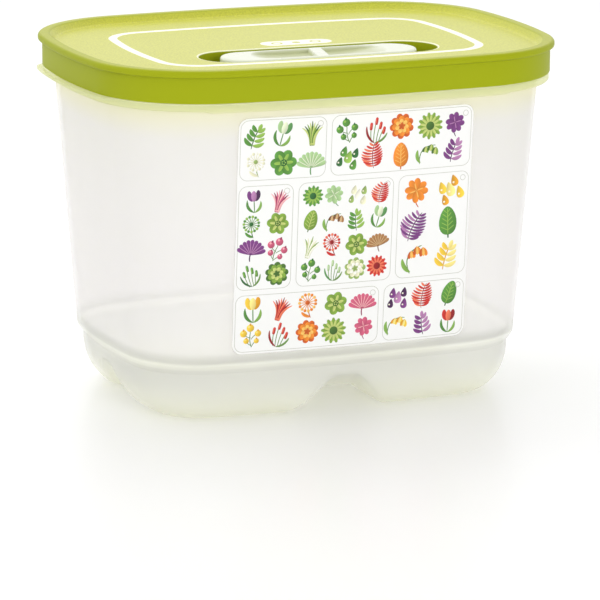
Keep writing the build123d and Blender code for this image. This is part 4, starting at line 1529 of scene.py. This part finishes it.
class KEEPER_OT_stage(bpy.types.Operator):
    """Sets the floor, the lamps, the even light and the camera"""

    bl_idname = "keeper.stage"
    bl_label = "Stage"

    def execute(self, context):
        sizes = context.scene.keeper_stage
        scene = context.scene
        mesh = bpy.data.meshes.new("studio_floor")
        corners = [
            (x * sizes.floor_reach, y * sizes.floor_reach, -sizes.floor_gap)
            for x, y in ((-1, -1), (1, -1), (1, 1), (-1, 1))
        ]
        mesh.from_pydata(corners, [], [(0, 1, 2, 3)])
        floor = bpy.data.objects.new("studio_floor", mesh)
        scene.collection.objects.link(floor)
        material = bpy.data.materials.new("Studio floor")
        material.use_nodes = True
        tree = material.node_tree
        shader = tree.nodes["Principled BSDF"]
        look = {
            "Base Color": (*sizes.floor_colour, 1.0),
            "Roughness": 0.8,
            "Specular IOR Level": 0.0,
            "Emission Color": (1.0, 1.0, 1.0, 1.0),
            "Emission Strength": sizes.floor_glow,
        }
        feed(tree, shader, look)
        mirror = added(tree, "ShaderNodeBsdfGlossy", {"Roughness": 0.32})
        both = blended(tree, sizes.gloss, shader.outputs[0], mirror.outputs[0])
        feed(tree, tree.nodes["Material Output"], {"Surface": both})
        mesh.materials.append(material)
        world = bpy.data.worlds.new("Studio")
        scene.world = world
        world.use_nodes = True
        tree = world.node_tree
        ray = tree.nodes.new("ShaderNodeNewGeometry").outputs["Incoming"]
        ends = (sizes.sky, sizes.sky_front)
        fade = spanned(tree, along_axis(tree, ray, "Y"), (-0.5, 0.6), ends, "SMOOTHSTEP")
        path = tree.nodes.new("ShaderNodeLightPath").outputs
        seen = number(tree, "MAXIMUM", path["Is Camera Ray"], path["Is Transmission Ray"])
        strength = added(tree, "ShaderNodeMix", {"Factor": seen, "A": fade, "B": 1.0}).outputs["Result"]
        feed(tree, tree.nodes["Background"], {"Color": (1.0, 1.0, 1.0, 1.0), "Strength": strength})
        for name, place, target, side, power in LAMPS:
            light = bpy.data.lights.new(name, "AREA")
            light.shape = "SQUARE"
            light.size = side
            light.energy = getattr(sizes, power)
            lamp = bpy.data.objects.new(name, light)
            lamp.matrix_world = aimed(place, target)
            lamp.visible_glossy = False
            scene.collection.objects.link(lamp)
        camera = bpy.data.cameras.new("Camera")
        camera.sensor_width = 36.0
        camera.lens = sizes.lens
        camera.clip_start = 0.05
        camera.clip_end = 100.0
        view = bpy.data.objects.new("Camera", camera)
        facing = aimed(sizes.camera_place, sizes.camera_target)
        view.matrix_world = facing @ Matrix.Rotation(sizes.camera_roll, 4, "Z")
        scene.collection.objects.link(view)
        scene.camera = view
        scene.view_settings.view_transform = "Standard"
        return {"FINISHED"}


class KEEPER_PT_panel(bpy.types.Panel):
    """Lists the steps that build the keeper"""

    bl_label = "Vegetable keeper"
    bl_space_type = "VIEW_3D"
    bl_region_type = "UI"
    bl_category = "Keeper"

    def draw(self, context):
        for operator in OPERATORS:
            self.layout.operator(operator.bl_idname)


GROUPS = {
    "outline": KeeperOutline,
    "tub": KeeperTub,
    "lid": KeeperLid,
    "vent": KeeperVent,
    "chart": KeeperChart,
    "stage": KeeperStage,
}
OPERATORS = (KEEPER_OT_tub, KEEPER_OT_lid, KEEPER_OT_slide, KEEPER_OT_film, KEEPER_OT_chart, KEEPER_OT_stage)


def register():
    """Registers the classes and hangs the property groups on the scene."""
    for item in (*GROUPS.values(), *OPERATORS, KEEPER_PT_panel):
        bpy.utils.register_class(item)
    for name, group in GROUPS.items():
        setattr(bpy.types.Scene, f"keeper_{name}", PointerProperty(type=group))


def unregister():
    """Takes the property groups off the scene and removes the classes."""
    for name in GROUPS:
        delattr(bpy.types.Scene, f"keeper_{name}")
    for item in reversed((*GROUPS.values(), *OPERATORS, KEEPER_PT_panel)):
        bpy.utils.unregister_class(item)


def main():
    """Builds every piece and the stage."""
    register()
    bpy.ops.keeper.tub()
    bpy.ops.keeper.lid()
    bpy.ops.keeper.slide()
    bpy.ops.keeper.film()
    bpy.ops.keeper.chart()
    bpy.ops.keeper.stage()


if __name__ == "__main__":
    main()
